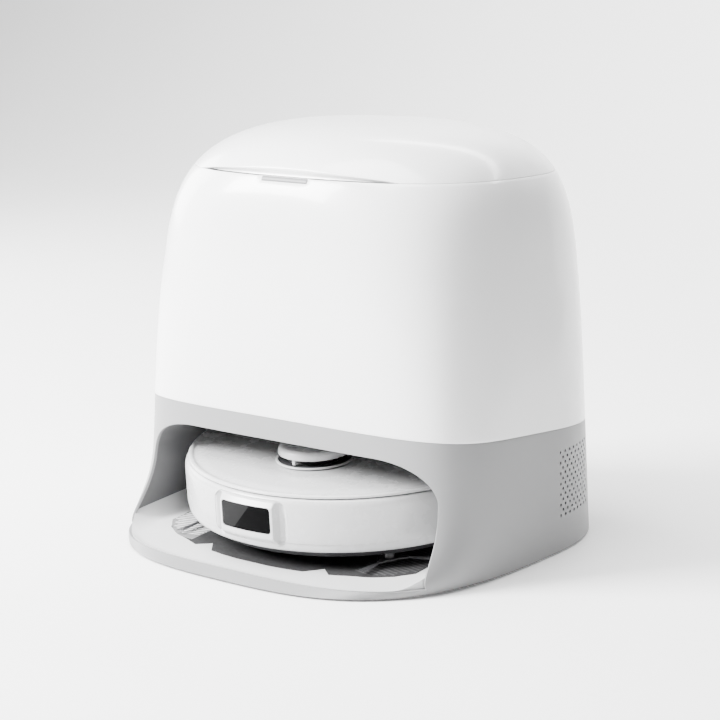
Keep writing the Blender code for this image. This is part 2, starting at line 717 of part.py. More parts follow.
def lidar():
    """Turret: a pale ring, a dark rotor, and a cap that stands on three posts."""
    low = COVER_LOW + 0.0045
    cap_low = low + 0.0066
    at = (0, LIDAR_Y, 0)
    turned("lidar_base", [(0.0300, low + 0.0012), (0.0380, low + 0.0012), (0.0388, low + 0.0006),
                          (0.0388, low), (0.0300, low)], "robot_white", ROBOT, at, 32)
    cylinder("lidar_rotor", 0.0270, 0.0056, (0, LIDAR_Y, low + 0.0034), "black_glass", ROBOT,
             steps=32)
    cap = turned("lidar_cap", [(0, cap_low + 0.0098), (0.0310, cap_low + 0.0093),
                               (0.0350, cap_low + 0.0074), (0.0360, cap_low + 0.0045),
                               (0.0360, cap_low), (0, cap_low)], "robot_white", ROBOT, at, 32)
    for number in range(3):
        angle = math.radians(30 + 120 * number)
        x, y = 0.0325 * math.cos(angle), LIDAR_Y + 0.0325 * math.sin(angle)
        post = cylinder(f"post_cutter_{number}", 0.0020, 0.0060,
                        (x, y, low + 0.0012 + GAP + 0.0030), None, ROBOT, steps=12)
        modify_boolean(cap, post, "UNION")


# ---- robot running gear -------------------------------------------------------
def axis_empty(name, at):
    empty = bpy.data.objects.new(name, None)
    PARTS.objects.link(empty)
    empty.parent = ROBOT
    empty.location = at
    return empty


def drive_wheels():
    pivot_y, pivot_z = ARM_PIVOT
    along = math.hypot(pivot_y, pivot_z - WHEEL_R)
    slope = math.atan2(WHEEL_R - pivot_z, -pivot_y)
    for name, side in (("right", 1), ("left", -1)):
        outline = arc(0, 0, 0.009, -90, 90, 8) + arc(-along, 0, 0.011, 90, 270, 8)
        hub = axis_empty(f"arm_axis_{name}", (side * ARM_X, pivot_y, pivot_z))
        turn = (math.pi / 2, math.pi - slope, math.pi / 2)
        arm = flat(f"wheel_arm_{name}", outline, 0.005, "dark_plastic", hub, turn=turn)
        axle = cylinder(f"axle_cutter_{name}", 0.0030, 0.0230,
                        (side * 0.0105, -pivot_y, WHEEL_R - pivot_z), None, hub,
                        turn=(0, math.pi / 2, 0), steps=16)
        modify_boolean(arm, axle, "UNION")
        wheel(f"drive_wheel_{name}", WHEEL_R, WHEEL_WIDTH, 0.0033, (side * WHEEL_X, 0, WHEEL_R),
              "rubber", 28)


def wheel(name, radius, width, bore, at, look, steps):
    half = width / 2
    profile = [(bore, half), (radius * 0.80, half), (radius, half * 0.75), (radius, -half * 0.75),
               (radius * 0.80, -half), (bore, -half)]
    obj = turned(name, profile, look, ROBOT, at, steps)
    obj.rotation_euler = (0, math.pi / 2, 0)


def caster():
    axle_y = CASTER_Y + CASTER_TRAIL
    fork = box("caster_fork", (-0.0095, axle_y - 0.006, CASTER_R - 0.005),
               (0.0095, axle_y + 0.006, 0.0290), "dark_plastic", ROBOT)
    slot = box("fork_slot_cutter", (-0.0060, axle_y - 0.020, 0.0), (0.0060, axle_y + 0.020, 0.0260),
               None, ROBOT)
    modify_boolean(fork, slot)
    stem = cylinder("fork_stem_cutter", 0.0050, 0.0120, (0, CASTER_Y, 0.0340), None, ROBOT, steps=16)
    modify_boolean(fork, stem, "UNION")
    axle = cylinder("fork_axle_cutter", 0.0015, 0.0180, (0, axle_y, CASTER_R), None, ROBOT, steps=12,
                    turn=(0, math.pi / 2, 0))
    modify_boolean(fork, axle, "UNION")
    wheel("caster_wheel", CASTER_R, 0.0110, 0.0018, (0, axle_y, CASTER_R), "rubber", 20)


def main_brush():
    """Roller with six flaps, and its frame under the pan."""
    flaps = 6
    outline = []
    for flap in range(flaps):
        centre = 360 * flap / flaps
        for offset, radius in ((-30, 0.0120), (-9, 0.0125), (-5, BRUSH_R), (5, BRUSH_R), (9, 0.0125)):
            angle = math.radians(centre + offset)
            outline.append((radius * math.cos(angle), radius * math.sin(angle)))
    flat("main_brush", outline, 0.168, "rubber", ROBOT, at=(0, BRUSH_Y, BRUSH_R + 0.0010),
         turn=(math.pi / 2, 0, math.pi / 2))
    frame = box("brush_guard", (-0.094, BRUSH_Y - 0.027, PAN_LOW - 0.0033),
                (0.094, BRUSH_Y + 0.027, PAN_LOW - GAP), "dark_plastic", ROBOT)
    modify_boolean(frame, box("guard_hole_cutter", (-0.0865, BRUSH_Y - 0.0210, 0.0),
                              (0.0865, BRUSH_Y + 0.0210, 0.050), None, ROBOT))


def side_brushes():
    x, y = SIDE_BRUSH
    for name, side in (("right", 1), ("left", -1)):
        outline = []
        for arm in range(3):
            centre = 120 * arm + 30
            for offset, radius in ((-60, 0.0100), (-14, 0.0110), (-2.6, 0.0440), (2.6, 0.0440),
                                   (14, 0.0110)):
                angle = math.radians(centre + offset)
                outline.append((radius * math.cos(angle), radius * math.sin(angle)))
        star = flat(f"side_brush_{name}", outline, 0.0020, "fibre", ROBOT, at=(side * x, y, 0.0045))
        shaft = cylinder(f"side_brush_shaft_cutter_{name}", 0.0048, 0.0130, (side * x, y, 0.0110),
                         None, ROBOT, steps=16)
        modify_boolean(star, shaft, "UNION")


def mops():
    x, y = MOP
    for name, side in (("right", 1), ("left", -1)):
        cylinder(f"mop_pad_{name}", MOP_R, 0.0055, (side * x, y, 0.0034), "fibre", ROBOT, steps=32)
        disc = cylinder(f"mop_disc_{name}", MOP_R - 0.006, 0.0025, (side * x, y, 0.0078),
                        "dark_plastic", ROBOT, steps=24)
        shaft = cylinder(f"mop_shaft_cutter_{name}", 0.0055, 0.0100, (side * x, y, 0.0120), None,
                         ROBOT, steps=16)
        modify_boolean(disc, shaft, "UNION")


def robot_machinery():
    low = PAN_FLOOR + GAP
    bin_body = box("dust_bin", (-0.085, -0.024, low), (0.085, 0.048, 0.0600), "tank_plastic", ROBOT)
    modify_boolean(bin_body, box("bin_cutter", (-0.083, -0.022, low + 0.002), (0.083, 0.046, 0.100),
                                 None, ROBOT))
    box("bin_filter", (-0.0825, -0.0215, 0.0520), (0.0825, 0.0455, 0.0595), "fibre", ROBOT)
    bevel(box("battery_pack", (-0.044, 0.062, low), (0.044, 0.140, 0.0340), "dark_plastic", ROBOT),
          0.002)
    fan = cylinder("fan_motor", 0.0230, 0.0270, (0, 0.100, 0.0480), "steel", ROBOT, steps=32)
    modify_boolean(fan, cylinder("fan_eye_cutter", 0.0110, 0.0200, (0, 0.100, 0.0620), None, ROBOT))
    box("robot_board", (0.032, 0.060, 0.0500), (0.092, 0.110, 0.0516), "board_green", ROBOT)


def build():
    inside = housing_inside()
    base_shell()
    dome_shell()
    lid_shell()
    bottom_plate(inside)
    feet()
    wash_tray(inside)
    ramp_mats()
    bay_housing(inside)
    vent_grille(1)
    vent_grille(-1)
    tank_deck()
    tank("clean", 1)
    tank("dirty", -1)
    dock_machinery()
    lid_hinge()
    bumper()
    rear_shell()
    chassis()
    top_cover()
    lidar()
    drive_wheels()
    caster()
    main_brush()
    side_brushes()
    mops()
    robot_machinery()


build()
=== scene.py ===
import random
from math import asin, atan2, copysign, cos, exp, hypot, pi, radians, sin, sqrt, tan, tau

import bmesh
import bpy
from mathutils import Matrix, Vector


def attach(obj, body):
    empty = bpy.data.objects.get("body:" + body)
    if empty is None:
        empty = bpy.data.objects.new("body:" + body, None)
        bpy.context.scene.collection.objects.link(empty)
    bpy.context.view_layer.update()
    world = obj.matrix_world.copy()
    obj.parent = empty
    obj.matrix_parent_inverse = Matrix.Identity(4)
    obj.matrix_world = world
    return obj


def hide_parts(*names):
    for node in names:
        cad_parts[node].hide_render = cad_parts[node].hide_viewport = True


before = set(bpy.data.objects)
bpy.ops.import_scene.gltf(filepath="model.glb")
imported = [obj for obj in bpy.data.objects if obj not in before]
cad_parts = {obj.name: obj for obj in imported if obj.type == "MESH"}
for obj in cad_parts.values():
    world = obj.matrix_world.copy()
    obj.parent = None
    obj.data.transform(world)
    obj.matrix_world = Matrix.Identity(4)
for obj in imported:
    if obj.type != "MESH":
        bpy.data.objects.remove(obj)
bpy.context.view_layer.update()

# ---- sizes shared with the CAD ----
HEIGHT = 0.411
FOOT = 0.002
HALF_WIDTH = 0.205
SIDE_LEAN = 0.032
FRONT_DEPTH = 0.162
FRONT_LEAN = 0.010
BACK_DEPTH = 0.178
BACK_LEAN = 0.100
DOME_START = 0.147
DOME_POWER = 8.0
DOME_ROUND = 3.2
TOE_REACH = 0.096
TOE_HEIGHT = 0.100
SQUARE_FRONT = 4.5
SQUARE_GAIN = 1.75
SQUARE_LEVEL = 0.280
SQUARE_BACK = 2.62
SQUARE_TOE = 2.8
WALL = 0.003
GAP = 0.0003
SEAM_HEIGHT = 0.124
SEAM_SLOPE = -0.080
LID_CUT = 0.366
LID_GAP = 0.0001
BAY_TOP = 0.1155
BAY_HALF = 0.1745
BAY_SPREAD = 0.100
BAY_CORNER = (0.069, 0.0440)
BAY_ROUND = 2.3
ARCH_LEG, ARCH_BEND = 0.3, 0.8    # shares of the arch where its corner starts and ends
BAY_PLAN = 0.1795
LIP = 0.008
MAT = (0.1225, -0.115)
MAT_HALF = (0.028, 0.070)
RAMP_BEND = -0.187
RAMP_TOE_SLOPE = 0.032
TRAY_MIDDLE = -0.060
TRAY_BASE = 0.0043
ROBOT_R = 0.170
ROBOT_Y = -0.038
ROBOT_Z = 0.020
TILT = radians(4.7)
SIDE_LOW = 0.018
COVER_LOW = 0.0705
BUMPER_INNER = 0.1660
BUMPER_SPLIT = 0.006
SPLIT_GAP = 0.0045
LIDAR_Y = -0.064
WINDOW = (0.029, 0.035, 0.060)
FRAME_PAD = (0.044, 0.0225, 0.0665)
WHEEL_R = 0.031
WHEEL_X = 0.1145
WHEEL_WIDTH = 0.020
BRUSH_Y = -0.052
BRUSH_R = 0.0192
SIDE_BRUSH = (0.112, -0.100)
MOP = (0.064, 0.088)
MOP_R = 0.060
SWEEP = (0.024, 0.0125)           # width and rise of the tray's swept-up sides
VENT_Y = (0.012, 0.086)
VENT_Z = (0.034, 0.103)
HOLE_PITCH = (0.0091, 0.0052)
HOLE_R = 0.00165
SEAM_BEVEL = 0.00025
CREASE = 50.0                     # degrees from which an edge is bevelled


def dome_factor(z):
    climb = max(0.0, min(1.0, (z - DOME_START) / (HEIGHT - DOME_START)))
    return climb, (1.0 - climb ** DOME_POWER) ** (1.0 / DOME_ROUND)


def outline_at(z, angle):
    """Point of the housing's plan outline at height z, in direction angle."""
    climb, dome = dome_factor(z)
    flare = max(0.0, 1.0 - z / TOE_HEIGHT) ** 3
    half = (HALF_WIDTH - SIDE_LEAN * z) * dome
    across, along = cos(angle), sin(angle)
    if along < 0.0:
        depth = (FRONT_DEPTH + FRONT_LEAN * z) * dome + TOE_REACH * flare
        power = SQUARE_FRONT + SQUARE_GAIN * max(0.0, 1.0 - z / SQUARE_LEVEL)
        power += (SQUARE_TOE - power) * flare
        power += (2.0 - SQUARE_FRONT) * climb ** 2
    else:
        depth = (BACK_DEPTH - BACK_LEAN * z) * dome
        power = SQUARE_BACK + (2.0 - SQUARE_BACK) * climb ** 2
    reach = (abs(across) / half) ** power + (abs(along) / depth) ** power
    radius = reach ** (-1.0 / power)
    return radius * across, radius * along


def seam_height(angle):
    return SEAM_HEIGHT + SEAM_SLOPE * outline_at(SEAM_HEIGHT, angle)[1]


def ramp_top(y):
    level = ROBOT_Z - 0.0006 + tan(TILT) * (max(y, RAMP_BEND) - ROBOT_Y)
    if y < RAMP_BEND:
        level -= (RAMP_BEND - y) * RAMP_TOE_SLOPE
    return level


def arch_point(share):
    """Half of the mouth's arch, X and Z, from its foot (0) to the crown's middle (1)."""
    corner_x, corner_z = BAY_CORNER
    bend = BAY_TOP - corner_z
    if share < ARCH_LEG:
        z = LIP + (bend - LIP) * share / ARCH_LEG
        return BAY_HALF + BAY_SPREAD * (bend - z), z
    if share < ARCH_BEND:
        angle = pi / 2 * (share - ARCH_LEG) / (ARCH_BEND - ARCH_LEG)
        return (BAY_HALF - corner_x + corner_x * cos(angle) ** (2 / BAY_ROUND),
                bend + corner_z * sin(angle) ** (2 / BAY_ROUND))
    return (BAY_HALF - corner_x) * (1.0 - share) / (1.0 - ARCH_BEND), BAY_TOP


def bisect(low, high, still_low):
    """Where still_low(value) stops being true between low and high."""
    for _ in range(40):
        middle = (low + high) / 2
        low, high = (middle, high) if still_low(middle) else (low, middle)
    return low


def front_angle(x, z):
    """Direction in which the housing's front wall passes through x >= 0 at height z."""
    return bisect(-pi / 2, -0.05, lambda angle: outline_at(z, angle)[0] < x)


DY = -(outline_at(FOOT, -pi / 2)[1] + outline_at(FOOT, pi / 2)[1]) / 2
DOCK = Matrix.Translation((0, DY, 0))
ROBOT = Matrix.Translation((0, DY + ROBOT_Y, ROBOT_Z)) @ Matrix.Rotation(TILT, 4, "X")
STAND = Matrix(((1, 0, 0, 0), (0, 0, -1, 0), (0, 1, 0, 0), (0, 0, 0, 1)))


def smooth_step(low, high, value):
    t = max(0.0, min(1.0, (value - low) / (high - low)))
    return t * t * (3.0 - 2.0 * t)


def polar(radius, angle):
    return radius * cos(angle), radius * sin(angle)


# ---- materials ----
def node_of(tree, kind, values, links):
    """New shader node with input values set and sockets linked to its inputs."""
    node = tree.nodes.new("ShaderNode" + kind)
    for key, value in values.items():
        node.inputs[key].default_value = value
    for key, socket in links.items():
        tree.links.new(socket, node.inputs[key])
    return node


def new_material(name):
    """Material, its node tree and the object coordinates to build on."""
    made = bpy.data.materials.new(name)
    made.use_nodes = True
    tree = made.node_tree
    return made, tree, node_of(tree, "TexCoord", {}, {}).outputs["Object"]


def noise(tree, space, scale, detail=3.0, roughness=0.5):
    values = {"Scale": scale, "Detail": detail, "Roughness": roughness}
    return node_of(tree, "TexNoise", values, {"Vector": space}).outputs["Fac"]


def ramp(tree, source, low, dark, high, light):
    """Colour that goes from dark to light while source goes from low to high."""
    node = node_of(tree, "ValToRGB", {}, {"Fac": source})
    for element, position, colour in zip(node.color_ramp.elements, (low, high), (dark, light)):
        element.position = position
        element.color = (*colour, 1.0)
    return node.outputs["Color"]


def map_range(tree, source, low, high, from_low=0.3, from_high=0.7):
    values = {"From Min": from_low, "From Max": from_high, "To Min": low, "To Max": high}
    return node_of(tree, "MapRange", values, {"Value": source}).outputs["Result"]


def bump(tree, source, strength, distance, **below):
    return node_of(tree, "Bump", {"Strength": strength, "Distance": distance},
                   {"Height": source, **below}).outputs["Normal"]


def finish_material(made, colour, roughness, normal=None, **uniform):
    """Wire a material's shader, and set the values that are the same all over."""
    tree = made.node_tree
    shader = tree.nodes["Principled BSDF"]
    for key, socket in (("Base Color", colour), ("Roughness", roughness), ("Normal", normal)):
        if socket is not None:
            tree.links.new(socket, shader.inputs[key])
    for key, value in uniform.items():
        shader.inputs[key.replace("_", " ")].default_value = value
    return made


def scaled(colour, factor):
    return [min(1.0, c * factor) for c in colour]


def plastic(name, colour, roughness, grain=700.0, grain_depth=0.00002, coat=0.0, spread=0.03,
            patch=9.0):
    """Moulded plastic: faint cloudiness, uneven gloss, fine surface grain."""
    made, tree, space = new_material(name)
    cloud = ramp(tree, noise(tree, space, patch, 4.0, 0.55), 0.3, scaled(colour, 1.0 - spread),
                 0.7, scaled(colour, 1.0 + spread))
    gloss = map_range(tree, noise(tree, space, patch * 6.0, 6.0, 0.6), roughness * 0.95,
                      roughness * 1.06)
    fine = bump(tree, noise(tree, space, grain, 2.0, 0.5), 0.35, grain_depth)
    return finish_material(made, cloud, gloss, fine, Coat_Weight=coat, Coat_Roughness=0.06)


def rubber(name, colour):
    made, tree, space = new_material(name)
    speck = ramp(tree, noise(tree, space, 260.0, 5.0, 0.7), 0.35, [c * 0.75 for c in colour],
                 0.7, [c * 1.35 for c in colour])
    matt = map_range(tree, noise(tree, space, 60.0, 4.0, 0.6), 0.62, 0.86)
    grain = bump(tree, noise(tree, space, 1400.0, 3.0, 0.6), 0.5, 0.00005)
    return finish_material(made, speck, matt, grain)


def glass_with_painted_reflection(name):
    """Black glass with a painted reflection: a slanted, slightly lighter band painted into its
    colour on one side.
    """
    made, tree, space = new_material(name)
    split = node_of(tree, "SeparateXYZ", {}, {"Vector": space})
    lean = tree.nodes.new("ShaderNodeMath")
    lean.operation = "MULTIPLY_ADD"
    lean.inputs[1].default_value = -0.85
    tree.links.new(split.outputs["Z"], lean.inputs[0])
    tree.links.new(split.outputs["X"], lean.inputs[2])
    edge = map_range(tree, lean.outputs["Value"], 0.0, 1.0, -0.0492, -0.0486)
    # Painted reflection: left of the slanted line the glass gets a lighter colour.
    painted_reflection_band = ramp(tree, edge, 0.0, (0.016, 0.016, 0.0163), 1.0, (0.0018, 0.0018, 0.002))
    haze = map_range(tree, noise(tree, space, 45.0), 0.10, 0.15)
    return finish_material(made, painted_reflection_band, haze, Specular_IOR_Level=0.02)


def smoked(name, colour, roughness, transmission):
    made, tree, space = new_material(name)
    cloud = ramp(tree, noise(tree, space, 20.0), 0.3, [c * 0.92 for c in colour], 0.7, colour)
    frost = map_range(tree, noise(tree, space, 70.0, 4.0, 0.6), roughness * 0.8, roughness * 1.2)
    return finish_material(made, cloud, frost, Transmission_Weight=transmission, IOR=1.49)


def brushed(name, colour, roughness):
    made, tree, space = new_material(name)
    drawn = node_of(tree, "Mapping", {"Scale": (8.0, 260.0, 260.0)}, {"Vector": space})
    streak = noise(tree, drawn.outputs["Vector"], 6.0, 4.0, 0.6)
    return finish_material(made, ramp(tree, streak, 0.3, [c * 0.82 for c in colour], 0.7, colour),
                           map_range(tree, streak, roughness * 0.8, roughness * 1.3),
                           bump(tree, streak, 0.2, 0.00002), Metallic=1.0)


def microfibre(name, colour):
    """Looped pile: a cell pattern for the loops, fuzz over it."""
    made, tree, space = new_material(name)
    cells = node_of(tree, "TexVoronoi", {"Scale": 420.0}, {"Vector": space}).outputs["Distance"]
    loops = bump(tree, cells, 0.8, 0.0006)
    fuzz = bump(tree, noise(tree, space, 1800.0, 4.0, 0.7), 0.5, 0.0002, Normal=loops)
    return finish_material(made, ramp(tree, cells, 0.0, [c * 1.25 for c in colour],
                                      0.8, [c * 0.6 for c in colour]),
                           map_range(tree, noise(tree, space, 90.0), 0.86, 0.98), fuzz,
                           Sheen_Weight=0.35, Sheen_Roughness=0.5)


def circuit(name):
    made, tree, space = new_material(name)
    tracks = node_of(tree, "TexBrick", {"Scale": 90.0, "Color1": (0.012, 0.10, 0.035, 1),
                                        "Color2": (0.018, 0.15, 0.055, 1),
                                        "Mortar": (0.06, 0.26, 0.11, 1)}, {"Vector": space})
    return finish_material(made, tracks.outputs["Color"],
                           map_range(tree, noise(tree, space, 300.0), 0.35, 0.5))


LOOKS = {
    "gloss_white": plastic("dome_gloss", (0.90, 0.902, 0.905), 0.24, 420.0, 0.000012, 0.30, 0.012),
    "pale_grey": plastic("housing_satin", (0.235, 0.236, 0.239), 0.40, 1500.0, 0.00003, 0.0,
                         0.015),
    "robot_white": plastic("robot_gloss", (0.56, 0.562, 0.566), 0.27, 600.0, 0.000012, 0.20,
                           0.012),
    # Painted shade: the lining is a much darker copy of the bay's pale plastic, standing for the
    # shade inside the bay.
    "bay_grey": plastic("bay_lining", (0.125, 0.1255, 0.128), 0.46, 900.0, 0.00004, 0.0, 0.04),
    "tray_grey": plastic("tray_plastic", (0.58, 0.582, 0.586), 0.40, 900.0, 0.00003, 0.0, 0.02),
    "dark_plastic": plastic("dark_plastic_grain", (0.035, 0.035, 0.037), 0.46, 800.0, 0.00005),
    "black_glass": plastic("black_gloss", (0.010, 0.010, 0.011), 0.09, 300.0, 0.000004, 0.4, 0.2),
    "rubber": rubber("tyre_rubber", (0.035, 0.035, 0.036)),
    "tank_plastic": smoked("tank_clear", (0.72, 0.79, 0.83), 0.16, 0.55),
    "board_green": circuit("circuit_board"),
    "steel": brushed("brushed_steel", (0.62, 0.62, 0.63), 0.32),
    "contact_metal": brushed("contact_plate", (0.78, 0.66, 0.40), 0.28),
    "fibre": microfibre("pad_pile", (0.24, 0.26, 0.30)),
}
# The liner's near-black colour is partly its own and partly painted shade under the robot.
LINER_WITH_PAINTED_SHADE = rubber("ramp_liner", (0.014, 0.014, 0.015))
# Lit and shaded copies of one ridged strip: the right one (1) is near black with painted shade, the
# left one (-1) pale grey with painted light.
STRIP_LIT_AND_SHADED = {1: (rubber("strip_painted_shade", (0.014, 0.014, 0.015)),
             rubber("rib_painted_shade", (0.034, 0.034, 0.035))),
         -1: (rubber("strip_painted_light", (0.16, 0.16, 0.162)),
              rubber("rib_painted_light", (0.50, 0.50, 0.505)))}
VENT_DARK = plastic("vent_screen", (0.05, 0.05, 0.052), 0.6, 900.0)
# The sensor glass carries a painted reflection, a lighter slanted band.
GLASS_PAINTED_REFLECTION = glass_with_painted_reflection("sensor_glass_painted_reflection")
NYLON = plastic("bristle_nylon", (0.10, 0.10, 0.105), 0.42, 900.0, 0.00002, 0.0, 0.25, 60.0)
FLAPS = rubber("roller_rubber", (0.05, 0.05, 0.055))
# Painted shade: the tab's grey stands for the shade in the finger recess.
TAB_PAINTED_SHADE = plastic("tab_painted_shade", (0.16, 0.161, 0.165), 0.4, 900.0)
REPLACED = set()


# ---- building blocks ----
def solid(name, points, faces, matrix):
    """Object from points and faces, placed in the shared frame."""
    mesh = bpy.data.meshes.new(name)
    mesh.from_pydata([tuple(p) for p in points], [], faces)
    bm = bmesh.new()
    bm.from_mesh(mesh)
    bmesh.ops.remove_doubles(bm, verts=bm.verts[:], dist=0.0000015)
    bmesh.ops.recalc_face_normals(bm, faces=bm.faces[:])
    bm.to_mesh(mesh)
    bm.free()
    mesh.transform(matrix)
    return linked(name, mesh)


def linked(name, data):
    obj = bpy.data.objects.new(name, data)
    bpy.context.scene.collection.objects.link(obj)
    return obj


def grid_faces(rows, columns, start=0, wrap=False):
    faces = []
    for row in range(rows - 1):
        for column in range(columns if wrap else columns - 1):
            after = (column + 1) % columns
            a, b = start + row * columns, start + (row + 1) * columns
            faces.append((a + column, a + after, b + after, b + column))
    return faces


def bridge(first, second, count):
    """Quads between two closed rings of points."""
    return [(first + i, first + (i + 1) % count, second + (i + 1) % count, second + i)
            for i in range(count)]


def applied(obj):
    """Turn an object's modifiers into its mesh."""
    bpy.context.view_layer.update()
    graph = bpy.context.evaluated_depsgraph_get()
    mesh = bpy.data.meshes.new_from_object(obj.evaluated_get(graph))
    obj.modifiers.clear()
    obj.data = mesh
    return obj


def thicken(obj, thickness, offset=-1.0, even=True):
    wall = obj.modifiers.new("wall", "SOLIDIFY")
    wall.thickness = thickness
    wall.offset = offset
    wall.use_even_offset = even
    return applied(obj)


def cut(obj, *cutters, operation="DIFFERENCE"):
    for cutter in cutters:
        boolean = obj.modifiers.new("cut", "BOOLEAN")
        boolean.operation = operation
        boolean.object = cutter
        boolean.solver = "EXACT"
    applied(obj)
    for cutter in cutters:
        bpy.data.objects.remove(cutter, do_unlink=True)
    return obj


def round_edges(obj, width, segments=3, chosen=None):
    """Bevel the sharp edges, or those of them that chosen(midpoint) picks."""
    bm = bmesh.new()
    bm.from_mesh(obj.data)
    edges = [edge for edge in bm.edges
             if len(edge.link_faces) == 2 and edge.calc_face_angle(0.0) >= radians(CREASE)
             and (chosen is None or chosen((edge.verts[0].co + edge.verts[1].co) / 2))]
    bmesh.ops.bevel(bm, geom=edges, offset=width, segments=segments, profile=0.5,
                    affect="EDGES", clamp_overlap=True)
    bm.to_mesh(obj.data)
    bm.free()


def soften(obj, width):
    """Bevel modifier, kept live, for the CAD's own solids."""
    rounding = obj.modifiers.new("rounding", "BEVEL")
    rounding.width = width
    rounding.segments = 2
    rounding.limit_method = "ANGLE"
    rounding.angle_limit = radians(40.0)


def finished(obj, slot, body, *nodes, look=None, angle=35.0):
    """Give a piece its material, its body, and the CAD solids it stands for."""
    obj.data.materials.clear()
    obj.data.materials.append(look or LOOKS[slot])
    obj.data.shade_smooth()
    obj.data.set_sharp_from_angle(angle=radians(angle))
    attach(obj, body)
    if nodes:
        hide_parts(*nodes)
        REPLACED.update(nodes)


def lathe(name, profile, steps, matrix, closed=True, start=0.0, sweep=tau):
    """Turn a profile of (radius, height) points about the Z axis."""
    full = abs(sweep - tau) < 1e-9
    count = steps if full else steps + 1
    points = [(*polar(radius, start + sweep * step / steps), height)
              for step in range(count) for radius, height in profile]
    size = len(profile)
    faces = []
    for step in range(steps):
        a, b = step * size, ((step + 1) % count) * size
        for i in range(size if closed else size - 1):
            j = (i + 1) % size
            faces.append((a + i, a + j, b + j, b + i))
    if not full and closed:
        faces += [tuple(range(size)), tuple(range((count - 1) * size, count * size))]
    return solid(name, points, faces, matrix)


def rounded_profile(corners):
    """Round the corners (r, z, radius) of a closed profile."""
    points = []
    steps = 4
    for i, (x, y, radius) in enumerate(corners):
        if radius <= 0.0:
            points.append((x, y))
            continue
        here = Vector((x, y))
        before = Vector(corners[i - 1][:2]) - here
        after = Vector(corners[(i + 1) % len(corners)][:2]) - here
        reach = min(radius, before.length * 0.49, after.length * 0.49)
        first = here + before.normalized() * reach
        last = here + after.normalized() * reach
        for step in range(steps + 1):
            t = step / steps
            points.append(tuple(first * (1 - t) ** 2 + here * 2 * t * (1 - t) + last * t * t))
    return points


def prism(name, outline, low, high, matrix):
    """Closed solid over an outline in X and Y, from height low to high."""
    count = len(outline)
    points = [(x, y, z) for z in (low, high) for x, y in outline]
    faces = [tuple(range(count)), tuple(range(count, 2 * count))] + bridge(0, count, count)
    return solid(name, points, faces, matrix)


def rounded_rectangle(half_x, half_y, radius, steps=6, cy=0.0):
    points = []
    for quarter, (sx, sy) in enumerate(((1, 1), (-1, 1), (-1, -1), (1, -1))):
        for step in range(steps + 1):
            x, y = polar(radius, radians(90 * quarter + 90 * step / steps))
            points.append((sx * (half_x - radius) + x, cy + sy * (half_y - radius) + y))
    return points


# ---- dock housing ----
def housing():
    """Base of the dock: flared walls round the arched mouth, vent holes, mains inlet."""
    wide, corner_share = radians(75), 0.55
    along_side, along_bottom, along_top, rows, columns = 44, 72, 72, 12, 120
    inner, outer = [], []
    for step in range(along_bottom):
        t = -1.0 + 2.0 * step / along_bottom
        x = arch_point(0.0)[0] * t
        angle = front_angle(abs(x), LIP)
        inner.append((-pi / 2 + copysign(angle + pi / 2, x), LIP))
        outer.append((-pi / 2 + wide * t, FOOT))

    def side_points(sign):
        found = []
        for step in range(along_side):
            share = step / along_side
            x, z = arch_point(corner_share * share)
            angle = front_angle(x, z)
            end = -pi / 2 + sign * wide
            found.append(((-pi / 2 + sign * (angle + pi / 2), z),
                          (end, FOOT + (seam_height(end) - FOOT) * share)))
        return found
    right, left = side_points(1), reversed(side_points(-1)[1:])
    inner += [a for a, _ in right]
    outer += [b for _, b in right]
    for step in range(along_top + 1):
        t = 1.0 - 2.0 * step / along_top
        x, z = arch_point(1.0 - (1.0 - corner_share) * abs(t))
        angle = front_angle(x, z)
        inner.append((-pi / 2 + copysign(angle + pi / 2, t), z))
        end = -pi / 2 + wide * t
        outer.append((end, seam_height(end)))
    for a, b in left:
        inner.append(a)
        outer.append(b)
    points = []
    for row in range(rows + 1):
        share = row / rows
        for (a0, z0), (a1, z1) in zip(inner, outer):
            angle, z = a0 + (a1 - a0) * share, z0 + (z1 - z0) * share
            points.append((*outline_at(z, angle), z))
    faces = grid_faces(rows + 1, len(inner), 0, True)
    start = len(points)
    for step in range(along_side + 1):
        share = step / along_side
        for column in range(columns + 1):
            angle = -pi / 2 + wide + (tau - 2 * wide) * column / columns
            z = FOOT + (seam_height(angle) - FOOT) * share
            points.append((*outline_at(z, angle), z))
    faces += grid_faces(along_side + 1, columns + 1, start)
    shell = thicken(solid("dock_housing", points, faces, DOCK), WALL)
    for vertex in shell.data.vertices:
        vertex.co.z = max(vertex.co.z, FOOT)

    def on_mouth(p):
        angle = atan2(p.y - DY, p.x)
        return p.z > FOOT + 0.0012 and p.z < seam_height(angle) - 0.0012
    round_edges(shell, 0.0013, 3, on_mouth)
    round_edges(shell, 0.0004, 2, lambda p: not on_mouth(p))
    holes, hole_faces = [], []
    sides = 12
    for side in (1, -1):
        for row in range(13):
            for column in range(8 - row % 2):
                y = VENT_Y[0] + 0.005 + HOLE_PITCH[0] * (column + (row % 2) / 2)
                z = VENT_Z[0] + 0.003 + HOLE_PITCH[1] * row
                first = len(holes)
                for x in (0.165, 0.215):
                    for i in range(sides):
                        dy, dz = polar(HOLE_R, tau * i / sides)
                        holes.append((side * x, y + dy, z + dz))
                far = first + sides
                hole_faces += [tuple(range(first, far)), tuple(range(far, far + sides))]
                hole_faces += bridge(first, far, sides)
    drill = solid("vent_drill", holes, hole_faces, DOCK)
    inlet_outline = rounded_rectangle(0.0165, 0.0115, 0.003, 4, 0.038)
    cut(shell, drill, prism("inlet_cut", inlet_outline, -0.200, -0.140, DOCK @ STAND))
    finished(shell, "pale_grey", "dock", "base_shell", angle=30.0)


